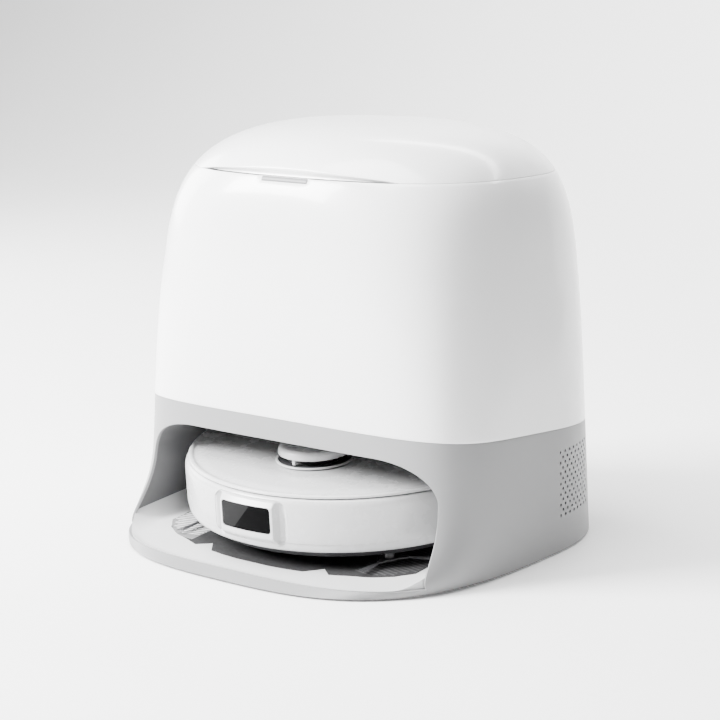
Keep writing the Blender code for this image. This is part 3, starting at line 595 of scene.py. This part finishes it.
def vent_screen(side):
    """Dark mesh panel behind the vent holes, following the wall."""
    label = "right" if side > 0 else "left"
    rows, columns, margin = 24, 28, 0.0004
    points = []
    for row in range(rows + 1):
        z = VENT_Z[0] + margin + (VENT_Z[1] - VENT_Z[0] - 2 * margin) * row / rows
        for column in range(columns + 1):
            y = VENT_Y[0] + margin + (VENT_Y[1] - VENT_Y[0] - 2 * margin) * column / columns
            depth, half = BACK_DEPTH - BACK_LEAN * z, HALF_WIDTH - SIDE_LEAN * z
            x = half * (1 - (y / depth) ** SQUARE_BACK) ** (1 / SQUARE_BACK)
            points.append((side * (x - 0.0042), y, z))
    screen = solid(f"vent_screen_{label}", points, grid_faces(rows + 1, columns + 1), DOCK)
    thicken(screen, 0.0008, 0.0)
    finished(screen, "pale_grey", "dock", f"vent_grille_{label}", look=VENT_DARK)


def lining():
    """Inner wall of the bay: arched ceiling and sides, round end behind the robot."""
    half = [(min(x, BAY_PLAN), z) for x, z in (arch_point(i / 44) for i in range(44))]
    arch = [(-x, z) for x, z in half] + [(0.0, BAY_TOP)] + half[::-1]
    columns, rows, levels = len(arch), 26, 10
    points, front, back = [], [], []
    for x, z in arch:
        front.append(outline_at(z, front_angle(abs(x), z))[1] + 0.0031)
        back.append(ROBOT_Y + sqrt(max(0.0, BAY_PLAN ** 2 - x * x)))
    for row in range(rows + 1):
        share = row / rows
        for (x, z), y0, y1 in zip(arch, front, back):
            points.append((x, y0 + (y1 - y0) * share, z))
    start = len(points)
    for level in range(levels + 1):
        share = level / levels
        for (x, z), y in zip(arch, back):
            points.append((x, y, z + (LIP - z) * share))
    faces = grid_faces(rows + 1, columns) + grid_faces(levels + 1, columns, start)
    bay = solid("bay_lining", points, faces, DOCK)
    inside = Vector((0, DY, 0.05))
    facing = sum(1 if f.normal.dot(f.center - inside) > 0 else -1 for f in bay.data.polygons)
    if facing < 0:
        bay.data.flip_normals()
    thicken(bay, 0.0018, 1.0, False)
    # The lining's dark grey is painted shade of the bay's inside.
    finished(bay, "bay_grey", "dock", "bay_housing", angle=40.0)


def tray_edge(angle):
    """Reach of the bay's floor from its middle in a direction."""
    limit = BAY_PLAN - 0.0007

    def inside(reach):
        x, y = polar(reach, angle)
        y += TRAY_MIDDLE
        if abs(x) > limit or (y > ROBOT_Y and x * x + (y - ROBOT_Y) ** 2 > limit ** 2):
            return False
        return hypot(x, y) < hypot(*outline_at(0.0070, atan2(y, x))) - WALL - 0.0002
    return bisect(0.05, 0.40, inside)


def tray():
    """Sloping floor of the bay, swept up at its edges to meet the walls and the lip."""
    columns, rows, lip_width = 264, 60, 0.011
    points = []
    angles = [tau * i / columns for i in range(columns)]
    reaches = [tray_edge(angle) for angle in angles]
    for row in range(1, rows + 1):
        share = 1.0 - (1.0 - row / rows) ** 1.6
        for angle, reach in zip(angles, reaches):
            x, y = polar(reach * share, angle)
            y += TRAY_MIDDLE
            level = ramp_top(y)
            side = smooth_step(-0.200, -0.165, y)
            edge = max(0.0004, LIP + 0.0002 - level) * (1.0 - side) + SWEEP[1] * side
            width = lip_width + (SWEEP[0] - lip_width) * side
            rise = edge * max(0.0, 1.0 - reach * (1.0 - share) / width) ** 2.2
            points.append((x, y, level + rise))
    faces = grid_faces(rows, columns, 0, True)
    middle = len(points)
    points.append((0, TRAY_MIDDLE, ramp_top(TRAY_MIDDLE)))
    faces += [(i, (i + 1) % columns, middle) for i in range(columns)]
    low = len(points)
    for angle, reach in zip(angles, reaches):
        x, y = polar(reach, angle)
        points.append((x, TRAY_MIDDLE + y, TRAY_BASE))
    faces += bridge((rows - 1) * columns, low, columns)
    faces.append(tuple(range(low, low + columns)))
    finished(solid("bay_floor", points, faces, DOCK), "tray_grey", "dock", "wash_tray", angle=50.0)


def on_ramp(name, outline, low, high):
    """Thin sheet that follows the ramp."""
    sheet = prism(name, outline, low, high, Matrix.Identity(4))
    for vertex in sheet.data.vertices:
        vertex.co.z += ramp_top(vertex.co.y)
    sheet.data.transform(DOCK)
    return sheet


def ramp_liner():
    """Slip sheet under the robot, two notches cut in its front edge; its near-black colour is
    partly the sheet's own dark and partly painted shade of the robot above it.
    """
    right = [(0.150, 0.060), (0.152, -0.060), (0.152, -0.125), (0.148, -0.150), (0.138, -0.166),
             (0.120, -0.178), (0.098, -0.186), (0.082, -0.193), (0.069, -0.182), (0.056, -0.199),
             (0.040, -0.202), (0.020, -0.204)]
    outline = right + [(-x, y) for x, y in reversed(right)]
    finished(on_ramp("ramp_liner", outline, -0.0002, 0.00022), "tray_grey", "dock", look=LINER_WITH_PAINTED_SHADE)


def ramp_ridges(side):
    """Ridged strip ahead of a drive wheel: slanting ribs on a thin, corner-cut base."""
    label = "right" if side > 0 else "left"
    name = f"ramp_ridges_{label}"
    inner, outer = MAT[0] - MAT_HALF[0], MAT[0] + MAT_HALF[0]
    front, back = MAT[1] - MAT_HALF[1] + 0.001, MAT[1] + MAT_HALF[1]
    width = outer - inner

    def front_of(x):
        """The front edge falls back towards the outside, along the toe's curve."""
        return front + 0.034 * ((x - inner) / width) ** 2.2
    steps = 12
    edge = [inner + width * i / steps for i in range(steps + 1)]
    outline = [(side * x, front_of(x)) for x in edge] + [(side * outer, back), (side * inner, back)]
    base = on_ramp(name + "_base", outline, -0.0006, 0.00030)
    points, faces = [], []
    pitch, wide, slant, pieces = 0.0050, 0.0024, 0.012, 8
    foot, crest = 0.00022, 0.00054
    section = ((0.0, foot), (wide * 0.15, crest), (wide * 0.85, crest), (wide, foot))
    xs = [inner + 0.0015 + (width - 0.003) * k / pieces for k in range(pieces + 1)]
    for i in range(int((back - front - 0.004) / pitch) + 1):
        line = [(x, front + 0.0015 + pitch * i + slant * (outer - x) / width) for x in xs]
        line = [(x, y) for x, y in line if y > front_of(x) + 0.0012 and y + wide < back - 0.001]
        if len(line) < 3:
            continue
        first, last = len(points), len(points) + 4 * (len(line) - 1)
        for x, y in line:
            points += [(side * x, y + dy, z + ramp_top(y + dy)) for dy, z in section]
        for a in range(first, last, 4):
            faces += bridge(a, a + 4, 4)
        faces += [tuple(range(first, first + 4)), tuple(range(last, last + 4))]
    ribs = solid(name, points, faces, DOCK)
    # Each strip takes its side's colour: painted shade on the right, painted light on the left.
    finished(base, "rubber", "dock", f"ramp_mat_{label}", look=STRIP_LIT_AND_SHADED[side][0])
    finished(ribs, "rubber", "dock", look=STRIP_LIT_AND_SHADED[side][1])


# ---- dome and lid ----
def dome():
    columns, rows = 256, 84
    points = []
    for row in range(rows + 1):
        share = row / rows
        for column in range(columns):
            angle = tau * column / columns
            low = seam_height(angle) + 0.00025
            z = low + (LID_CUT - LID_GAP - low) * share
            x, y = outline_at(z, angle)
            notch = smooth_step(0.0300, 0.0278, abs(x)) * smooth_step(-0.0062, -0.0050, z - LID_CUT)
            if y < 0.0:
                y += 0.0022 * notch
            points.append((x, y, z))
    shell = thicken(solid("dome", points, grid_faces(rows + 1, columns, 0, True), DOCK), WALL)
    round_edges(shell, SEAM_BEVEL, 2)
    finished(shell, "gloss_white", "dock", "dome_shell", angle=30.0)


def lid():
    """Domed lid with a crescent finger groove along its front edge."""
    columns, fine, rest, band = 288, 26, 30, 0.0140
    groove_half, groove_rise = 0.118, 0.0078
    low = LID_CUT + LID_GAP
    heights = [low + band * i / fine for i in range(fine)]
    climb_low = (low + band - DOME_START) / (HEIGHT - DOME_START)
    for i in range(rest):
        share = sin(pi / 2 * i / rest)
        climb = climb_low + (0.9990 - climb_low) * share
        heights.append(DOME_START + climb * (HEIGHT - DOME_START))
    points = []
    for z in heights:
        for column in range(columns):
            angle = tau * column / columns
            x, y = outline_at(z, angle)
            rise = groove_rise * (1.0 - (x / groove_half) ** 2)
            if y < 0.0 and rise > 0.0002:
                depth = smooth_step(rise, rise * 0.15, z - low) * smooth_step(0.0, 0.0022, rise)
                x, y = x * (1.0 - 0.016 * depth), y * (1.0 - 0.034 * depth)
            points.append((x, y, z))
    faces = grid_faces(len(heights), columns, 0, True)
    summit = len(points)
    points.append((0, 0, HEIGHT))
    last = (len(heights) - 1) * columns
    faces += [(last + i, last + (i + 1) % columns, summit) for i in range(columns)]
    shell = thicken(solid("lid", points, faces, DOCK), 0.0026)
    round_edges(shell, SEAM_BEVEL, 2, lambda p: p.z < low + 0.004)
    finished(shell, "gloss_white", "lid", "lid_shell", angle=30.0)


def lid_tab():
    """Small finger tab let into the dome's edge under the lid; its grey is painted shade of the
    finger recess.
    """
    points = []
    columns, rows = 28, 5
    for row in range(rows + 1):
        z = LID_CUT - GAP - 0.0048 + 0.0045 * row / rows
        for column in range(columns + 1):
            t = -1.0 + 2.0 * column / columns
            x = 0.0268 * t
            y = outline_at(z, front_angle(abs(x), z))[1]
            bulge = 0.0007 * (1.0 - (2.0 * row / rows - 1.0) ** 2)
            points.append((x, y + 0.0019 - bulge, z))
    tab = thicken(solid("lid_tab", points, grid_faces(rows + 1, columns + 1), DOCK), 0.0006, 0.0)
    finished(tab, "gloss_white", "dock", look=TAB_PAINTED_SHADE)


# ---- robot body ----
def side_section():
    """Section of the robot's side wall: skirt, step, wall, rounded shoulder."""
    top = COVER_LOW - 0.0012
    outer = ROBOT_R
    crown = [(outer - 0.0052 + 0.0052 * sin(radians(a)),
              top - 0.0085 + 0.0085 * cos(radians(a))) for a in range(0, 91, 9)]
    wall = [(outer, 0.0500), (outer, 0.0380), (outer, 0.0285), (outer - 0.0002, 0.0268),
            (outer - 0.0010, 0.0262), (outer - 0.0011, 0.0255), (outer - 0.0009, 0.0235),
            (outer - 0.0013, 0.0205), (outer - 0.0024, SIDE_LOW + 0.0007),
            (outer - 0.0034, SIDE_LOW), (BUMPER_INNER + 0.0003, SIDE_LOW)]
    inner = [(BUMPER_INNER, SIDE_LOW + 0.002), (BUMPER_INNER, 0.0600),
             (outer - 0.0064, top - 0.0016)]
    return crown + wall + inner


def pad_cutter(name, half, low, high, radius, near=0.120, far=0.220):
    outline = rounded_rectangle(half, (high - low) / 2, radius, 8, (low + high) / 2)
    return prism(name, outline, near, far, ROBOT @ STAND)


def bumper():
    half, low, high = FRAME_PAD
    spread = pi / 2 + asin(BUMPER_SPLIT / ROBOT_R)
    shell = lathe("bumper_shell", side_section(), 184, ROBOT, True, -pi / 2 - spread,
                  2 * spread)
    cut(shell, pad_cutter("frame_hole", half + GAP, low - GAP, high + GAP, 0.0125))
    finished(shell, "robot_white", "bumper_assembly", "bumper", angle=30.0)


def frame_radius(across, height):
    """Front face of the window's surround: a proud block between two scooped pockets."""
    half, low, high = FRAME_PAD
    flush, proud, sunk, foot = 0.1697, 0.1744, 0.1664, 0.0345
    side = abs(across)
    if side < foot:
        face = proud - (proud - sunk) * smooth_step(0.0306, foot, side)
    else:
        face = sunk + (flush - sunk) * smooth_step(0.0388, half - 0.0004, side)
    offset = abs(height - (low + high) / 2) / ((high - low) / 2)
    fade = smooth_step(0.80, 0.99, offset) if side > 0.0330 else smooth_step(0.64, 0.985, offset)
    return flush + (face - flush) * (1.0 - fade)


def window_frame():
    half, low, high = FRAME_PAD
    columns, rows = 110, 56
    outer, inner = [], []
    for row in range(rows + 1):
        z = low + (high - low) * row / rows
        for column in range(columns + 1):
            across = -half - 0.001 + (2 * half + 0.002) * column / columns
            angle = -pi / 2 + across / ROBOT_R
            outer.append((*polar(frame_radius(across, z), angle), z))
            inner.append((*polar(0.1650, angle), z))
    count, wide = len(outer), columns + 1
    faces = grid_faces(rows + 1, wide) + grid_faces(rows + 1, wide, count)
    ring = [*range(wide), *range(wide + columns, count, wide),
            *range(count - 2, rows * wide - 1, -1), *range((rows - 1) * wide, 0, -wide)]
    faces += [(a, b, count + b, count + a) for a, b in zip(ring, ring[1:] + ring[:1])]
    surround = solid("window_surround", outer + inner, faces, ROBOT)
    cut(surround, pad_cutter("surround_trim", half, low, high, 0.0122), operation="INTERSECT")
    glass_half, glass_low, glass_high = WINDOW
    cut(surround, pad_cutter("glass_seat", glass_half + GAP, glass_low - GAP, glass_high + GAP,
                             0.0034, 0.1695))
    finished(surround, "robot_white", "bumper_assembly", "window_frame", angle=42.0)


def window_glass():
    half, low, high = WINDOW
    spread = (half + 0.004) / ROBOT_R
    profile = [(0.1741, high + 0.002), (0.1741, low - 0.002), (0.1702, low - 0.002),
               (0.1702, high + 0.002)]
    glass = lathe("window_pane", profile, 40, ROBOT, True, -pi / 2 - spread, 2 * spread)
    cut(glass, pad_cutter("pane_trim", half, low, high, 0.0030), operation="INTERSECT")
    round_edges(glass, 0.0005)
    finished(glass, "black_glass", "bumper_assembly", "window_glass", look=GLASS_PAINTED_REFLECTION, angle=30.0)


def rear_shell():
    gap = asin((BUMPER_SPLIT + SPLIT_GAP) / ROBOT_R)
    shell = lathe("rear_wall", side_section(), 176, ROBOT, True, gap, pi - 2 * gap)
    finished(shell, "robot_white", "robot", "rear_shell", angle=30.0)


def top_cover():
    """Cover plate: raised rim, faint dish inside it, shallow moat round the turret."""
    columns = 216
    edge = ROBOT_R - 0.0036
    radii = [0.0073, 0.0076, 0.010, 0.016, 0.024, 0.032]
    radii += [0.032 + (0.150 - 0.032) * i / 44 for i in range(1, 45)]
    radii += [0.154, 0.157, 0.159, 0.1604, 0.1614, 0.1622, 0.1630, 0.1638, 0.1645, 0.1651,
              0.1656, 0.1660, edge - 0.0001, edge]
    points = []
    for r in radii:
        for column in range(columns):
            x, y = polar(r, tau * column / columns)
            z = COVER_LOW + 0.0040 - 0.0012 * (r / 0.150) ** 2
            z -= 0.0010 * smooth_step(0.1500, 0.1600, r)
            z += 0.0011 * smooth_step(0.1600, 0.1630, r)
            if r > 0.1638:
                lift = (r - 0.1638) / (edge - 0.1638)
                z -= 0.0016 * (1.0 - sqrt(max(0.0, 1.0 - lift * lift)))
            if r < 0.0078:
                z -= 0.0003
            away = hypot(x, y - LIDAR_Y)
            z -= 0.0008 * smooth_step(0.062, 0.041, away)
            points.append((x, y, z))
    faces = grid_faces(len(radii), columns, 0, True)
    base = len(points)
    points += [(*polar(r, tau * column / columns), COVER_LOW)
               for r in (edge, radii[0]) for column in range(columns)]
    for first, second in ((base - columns, base), (base, base + columns), (base + columns, 0)):
        faces += bridge(first, second, columns)
    cover = solid("top_plate", points, faces, ROBOT)
    finished(cover, "robot_white", "robot", "top_cover", angle=32.0)


def button():
    low = COVER_LOW + 0.0005
    crown = [(0.0, 0.0042), (0.0030, 0.0042), (0.0052, 0.0044), (0.0062, 0.0045),
             (0.0067, 0.0042), (0.0069, 0.0036)]
    profile = [(r, COVER_LOW + z) for r, z in crown] + [(0.0069, low), (0.0, low)]
    cap = lathe("start_button", profile, 64, ROBOT, False)
    finished(cap, "robot_white", "button", "robot_button", angle=40.0)


def lidar():
    low = COVER_LOW + 0.0045
    cap_low = low + 0.0066
    at = ROBOT @ Matrix.Translation((0, LIDAR_Y, 0))
    ring = rounded_profile([(0.0364, low + 0.0009, 0.0003), (0.0378, low + 0.0009, 0.0006),
                            (0.0387, low + 0.0003, 0.0003), (0.0387, low - 0.0006, 0.0),
                            (0.0364, low - 0.0006, 0.0)])
    finished(lathe("lidar_ring", ring, 120, at), "robot_white", "robot", "lidar_base")
    well = lathe("lidar_well", [(0.0275, low + 0.0003), (0.0362, low + 0.0007),
                                (0.0362, low - 0.0006), (0.0275, low - 0.0006)], 120, at)
    finished(well, "dark_plastic", "robot")
    section = [(0.0, 0.0094), (0.010, 0.0093), (0.020, 0.0091), (0.0272, 0.0088),
               (0.0282, 0.0086), (0.0288, 0.0087), (0.0310, 0.0086), (0.0330, 0.0080),
               (0.0346, 0.0069), (0.0355, 0.0054), (0.0359, 0.0037), (0.0359, 0.0012),
               (0.0355, 0.0003), (0.0346, 0.0001), (0.0290, 0.0001), (0.0, 0.0001)]
    cap = lathe("lidar_lid", [(r, cap_low + z) for r, z in section], 120, at, False)
    posts = []
    for number in range(3):
        outline = rounded_rectangle(0.0012, 0.0019, 0.0007, 3)
        turn = Matrix.Rotation(radians(30 + 120 * number), 4, "Z")
        place = at @ turn @ Matrix.Translation((0.0325, 0, 0))
        posts.append(prism(f"post_{number}", outline, low + 0.0016, cap_low + 0.0004, place))
    cut(cap, *posts, operation="UNION")
    finished(cap, "robot_white", "robot", "lidar_cap")
    drum = [(0.0, 0.0061), (0.0240, 0.0061), (0.0262, 0.0058), (0.0269, 0.0051),
            (0.0269, 0.0042), (0.0263, 0.0039), (0.0263, 0.0025), (0.0269, 0.0022),
            (0.0269, 0.0012), (0.0262, 0.0007), (0.0, 0.0007)]
    rotor = lathe("lidar_drum", [(r, low + z) for r, z in drum], 96, at, False)
    finished(rotor, "black_glass", "lidar_head", "lidar_rotor")


# ---- robot running gear ----
def treaded_wheel(label, side):
    """Tyre with slanting tread blocks round a stepped, recessed hub."""
    steps = 216
    half = WHEEL_WIDTH / 2
    side_face = [(0.0034, half - 0.001), (0.0080, half - 0.0010), (0.0092, half - 0.0026),
                 (0.0190, half - 0.0026), (0.0205, half - 0.0008), (0.0250, half - 0.0002),
                 (0.0280, half - 0.0006), (0.0300, half - 0.0022), (WHEEL_R, half * 0.66),
                 (WHEEL_R, half * 0.33)]
    section = side_face + [(WHEEL_R, 0.0)] + [(r, -x) for r, x in reversed(side_face)]
    points = []
    for step in range(steps):
        for radius, x in section:
            block = (step / 9.0 + abs(x) / half * 0.8) % 1.0
            groove = 0.0014 if radius > 0.0290 and block < 0.4 else 0.0
            points.append((x, *polar(radius - groove, tau * step / steps)))
    size = len(section)
    faces = []
    for step in range(steps):
        faces += bridge(step * size, (step + 1) % steps * size, size)
    place = ROBOT @ Matrix.Translation((side * WHEEL_X, 0, WHEEL_R))
    tyre = solid(f"tyre_{label}", points, faces, place)
    finished(tyre, "rubber", f"wheel_{label}", f"drive_wheel_{label}", angle=30.0)


def roller_brush():
    """Main roller: a core with six rubber flaps that sweep in a shallow V."""
    length, rings, flaps = 0.166, 84, 6
    outline = []
    for flap in range(flaps):
        centre = 360 * flap / flaps
        flank = [(2.5, BRUSH_R), (4.0, BRUSH_R - 0.0008), (5.5, 0.0150), (9, 0.0127), (18, 0.0123)]
        for offset, radius in [(-30, 0.0122)] + [(-a, r) for a, r in reversed(flank)] + flank:
            outline.append((radians(centre + offset), radius))
    points = []
    for ring in range(rings + 1):
        share = -1.0 + 2.0 * ring / rings
        twist = radians(34) * abs(share)
        end = smooth_step(1.0, 0.965, abs(share))
        for angle, radius in outline:
            r = 0.0110 + (radius - 0.0110) * end
            points.append((length / 2 * share, *polar(r, angle + twist)))
    count = len(outline)
    faces = grid_faces(rings + 1, count, 0, True)
    faces += [tuple(range(count)), tuple(range(rings * count, (rings + 1) * count))]
    place = ROBOT @ Matrix.Translation((0, BRUSH_Y, BRUSH_R + 0.0010))
    brush = solid("roller_brush", points, faces, place)
    finished(brush, "rubber", "roller", "main_brush", look=FLAPS, angle=30.0)


def edge_brush(label, side):
    """Three tufts of bristles on a hub with moulded arms."""
    name = f"edge_brush_{label}"
    rng = random.Random(11 if side > 0 else 12)
    points, faces = [], []

    def strand(start, end, thick):
        first = len(points)
        up = Vector((0, 0, 1))
        axis = end - start
        across = axis.cross(up).normalized()
        stations = 5
        for i in range(stations):
            t = i / (stations - 1)
            centre = start + axis * t - up * 0.0006 * t * (1 - t)
            r = thick * (1.0 - 0.55 * t)
            for k in range(4):
                a = tau * k / 4
                points.append(centre + across * r * cos(a) + up * r * sin(a))
        last = first + 4 * (stations - 1)
        for a in range(first, last, 4):
            faces.extend(bridge(a, a + 4, 4))
        faces.extend([tuple(range(first, first + 4)), tuple(range(last, last + 4))])
    strands = 26
    for arm in range(3):
        middle = radians(120 * arm + 30)
        for i in range(strands):
            spread = radians(-9 + 18 * i / (strands - 1)) + rng.uniform(-0.012, 0.012)
            reach = 0.0425 + rng.uniform(-0.0018, 0.0012)
            z = 0.0046 + rng.uniform(-0.0004, 0.0004)
            tip = polar(reach, middle + spread * 0.62 - 0.05)
            strand(Vector((*polar(0.0150, middle + spread * 0.45), z)),
                   Vector((*tip, 0.0040 + rng.uniform(-0.0004, 0.0003))), 0.00026)
    place = ROBOT @ Matrix.Translation((side * SIDE_BRUSH[0], SIDE_BRUSH[1], 0))
    finished(solid(name + "_bristles", points, faces, place), "fibre", name, look=NYLON)
    outline = []
    for arm in range(3):
        centre = 120 * arm + 30
        flank = [(4, 0.0180), (8, 0.0172), (12, 0.0140), (26, 0.0102), (44, 0.0096)]
        for offset, radius in [(-60, 0.0098)] + [(-a, r) for a, r in reversed(flank)] + flank:
            outline.append(polar(radius, radians(centre + offset)))
    hub = prism(name + "_hub", outline, 0.0035, 0.0055, place)
    shaft = lathe(name + "_shaft", [(0.0, 0.0030), (0.0040, 0.0030), (0.0048, 0.0038),
                                    (0.0048, 0.0170), (0.0, 0.0170)], 40, place, False)
    cut(hub, shaft, operation="UNION")
    round_edges(hub, 0.0004, 2)
    finished(hub, "fibre", name, f"side_brush_{label}", look=LOOKS["dark_plastic"])


def mop(label, side):
    """Round microfibre pad with a domed rim and a stitched hem, on its backing disc."""
    place = ROBOT @ Matrix.Translation((side * MOP[0], MOP[1], 0))
    low, high = 0.00075, 0.00610
    middle, half = (low + high) / 2, (high - low) / 2
    columns, flat = 168, MOP_R - 0.0050
    rim = [(MOP_R - 0.0042 + 0.0040 * cos(a), middle + half * sin(a))
           for a in (radians(-90 + 180 * i / 14) for i in range(15))]
    radii = [flat - flat * i / 14 for i in range(14)]
    section = [(r, low) for r in reversed(radii)] + rim + [(r, high) for r in radii]
    points = []
    for column in range(columns):
        angle = tau * column / columns
        frill = 1.0 + 0.0016 * sin(angle * 57.0)
        for r, z in section:
            quilt = 0.00028 * cos(r * 560.0) * cos(angle * 9.0) * smooth_step(0.0, 0.02, r)
            hem = 0.0005 * exp(-((r - MOP_R + 0.0065) / 0.0011) ** 2)
            z += quilt * (1 if z < middle else -0.4) + (hem if z < middle else -hem)
            z = max(0.00068, min(0.00612, z))
            points.append((*polar(min(MOP_R - 0.0001, r * frill), angle), z))
    size = len(section)
    faces = grid_faces(columns, size)
    last = (columns - 1) * size
    faces += [(last + i, last + i + 1, i + 1, i) for i in range(size - 1)]
    faces += [tuple(column * size for column in range(columns)),
              tuple(column * size + size - 1 for column in range(columns))]
    pad = solid(f"mop_cloth_{label}", points, faces, place)
    finished(pad, "fibre", f"mop_{label}", f"mop_pad_{label}", angle=60.0)


# ---- what the CAD already shapes well ----
def dress_cad():
    """Procedural materials and eased edges for the CAD's own visible solids."""
    usual = 0.0006
    widths = {"bottom_plate": 0.0004, "battery_pack": 0.0, "water_pump": 0.0, "hinge_pin": 0.0003,
              "robot_board": 0.0001, "dock_board": 0.0002, "caster_fork": 0.0005,
              "dock_contact_left": 0.0004, "dock_contact_right": 0.0004, "bin_filter": 0.0008}
    for name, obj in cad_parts.items():
        for holder in obj.material_slots:
            key = next((k for k in LOOKS if k in holder.material.name), None)
            if key:
                holder.material = LOOKS[key]
        width = widths.get(name, usual)
        if name not in REPLACED and width > 0.0:
            soften(obj, width)


# ---- stage ----
def backdrop():
    """Pale floor that curves up into a wall, and two black cards on the object's right."""
    size, rows, bend, radius, wall = 16.0, 40, 2.2, 1.8, 5.0
    points = []
    for row in range(rows + 1):
        t = row / rows
        y, z = -size + t * 2 * (size + bend), 0.0
        if t >= 0.5:
            a = pi / 2 * (t - 0.5) * 2
            y, z = bend + radius * sin(a), radius * (1 - cos(a))
        points += [(-size, y, z), (size, y, z)]
    points += [(-size, bend + radius, wall), (size, bend + radius, wall)]
    floor = staged("studio_floor", points, grid_faces(rows + 2, 2), "floor_paint", 2.0,
                   (0.93, 0.95), 0.7, {"Emission_Color": (1.0, 1.0, 1.0, 1.0),
                                       "Emission_Strength": 0.15})
    floor.data.shade_smooth()
    card("flag_side", [(1.25, -1.15, 0.0), (1.25, 1.85, 0.0), (1.25, 1.85, 1.8),
                       (1.25, -1.15, 1.8)])
    card("flag_floor", [(0.8, -1.4, 0.012), (2.7, -1.4, 0.012), (2.7, 1.8, 0.012),
                        (0.8, 1.8, 0.012)])


def staged(name, points, faces, paint, patch, greys, roughness, uniform):
    """Object of the studio, not part of the model."""
    mesh = bpy.data.meshes.new(name)
    mesh.from_pydata(points, [], faces)
    made, tree, space = new_material(paint)
    dark, pale = ((grey,) * 3 for grey in greys)
    cloud = ramp(tree, noise(tree, space, patch), 0.3, dark, 0.7, pale)
    finish_material(made, cloud, None, Roughness=roughness, **uniform)
    mesh.materials.append(made)
    obj = linked(name, mesh)
    return obj


def card(name, corners):
    """Black card that keeps light off one side of the object."""
    flag = staged(name, corners, [(0, 1, 2, 3)], name + "_velvet", 30.0, (0.010, 0.014), 0.9, {})
    flag.visible_camera = False


def light(name, at, target, size, power, tall=None):
    data = bpy.data.lights.new(name, "AREA")
    data.shape = "RECTANGLE"
    data.size = size
    data.size_y = tall or size
    data.energy = power
    lamp = linked(name, data)
    lamp.location = at
    lamp.rotation_euler = (Vector(target) - Vector(at)).to_track_quat("-Z", "Y").to_euler()


def lights():
    middle = (0, 0, 0.2)
    light("key", (-1.6, -1.7, 1.6), middle, 1.2, 400.0)
    light("top", (-0.3, -0.6, 2.4), middle, 1.4, 120.0)
    light("left", (-2.3, 0.2, 0.9), middle, 1.2, 60.0)
    light("strip", (2.1, -1.15, 0.8), middle, 0.28, 40.0, 1.4)
    light("backdrop", (0.0, 2.4, 3.0), (0.0, 3.6, 0.8), 4.0, 260.0, 0.8)
    world = bpy.data.worlds.new("studio")
    bpy.context.scene.world = world
    world.use_nodes = True
    sky = world.node_tree.nodes["Background"]
    sky.inputs["Color"].default_value = (1.0, 1.0, 1.0, 1.0)
    sky.inputs["Strength"].default_value = 0.20


def camera():
    azimuth, elevation, distance = 0.6358016, 0.183044, 2.0
    aside, below = 0.0216, 0.0310
    target = Vector((0, DY, 0.2))
    back = Vector((sin(azimuth) * cos(elevation),
                   -cos(azimuth) * cos(elevation), sin(elevation)))
    right = Vector((cos(azimuth), sin(azimuth), 0))
    up = back.cross(right)
    data = bpy.data.cameras.new("camera")
    data.lens = 99.6
    data.sensor_width = 36.0
    cam = linked("camera", data)
    cam.location = target + back * distance
    aim = target - aside * right - below * up
    cam.rotation_euler = (aim - cam.location).to_track_quat("-Z", "Y").to_euler()
    bpy.context.scene.camera = cam


housing()
for sign in (1, -1):
    vent_screen(sign)
    ramp_ridges(sign)
lining()
tray()
ramp_liner()
dome()
lid()
lid_tab()
bumper()
window_frame()
window_glass()
rear_shell()
top_cover()
button()
lidar()
for name, sign in (("right", 1), ("left", -1)):
    treaded_wheel(name, sign)
    edge_brush(name, sign)
    mop(name, sign)
roller_brush()
dress_cad()
backdrop()
lights()
camera()
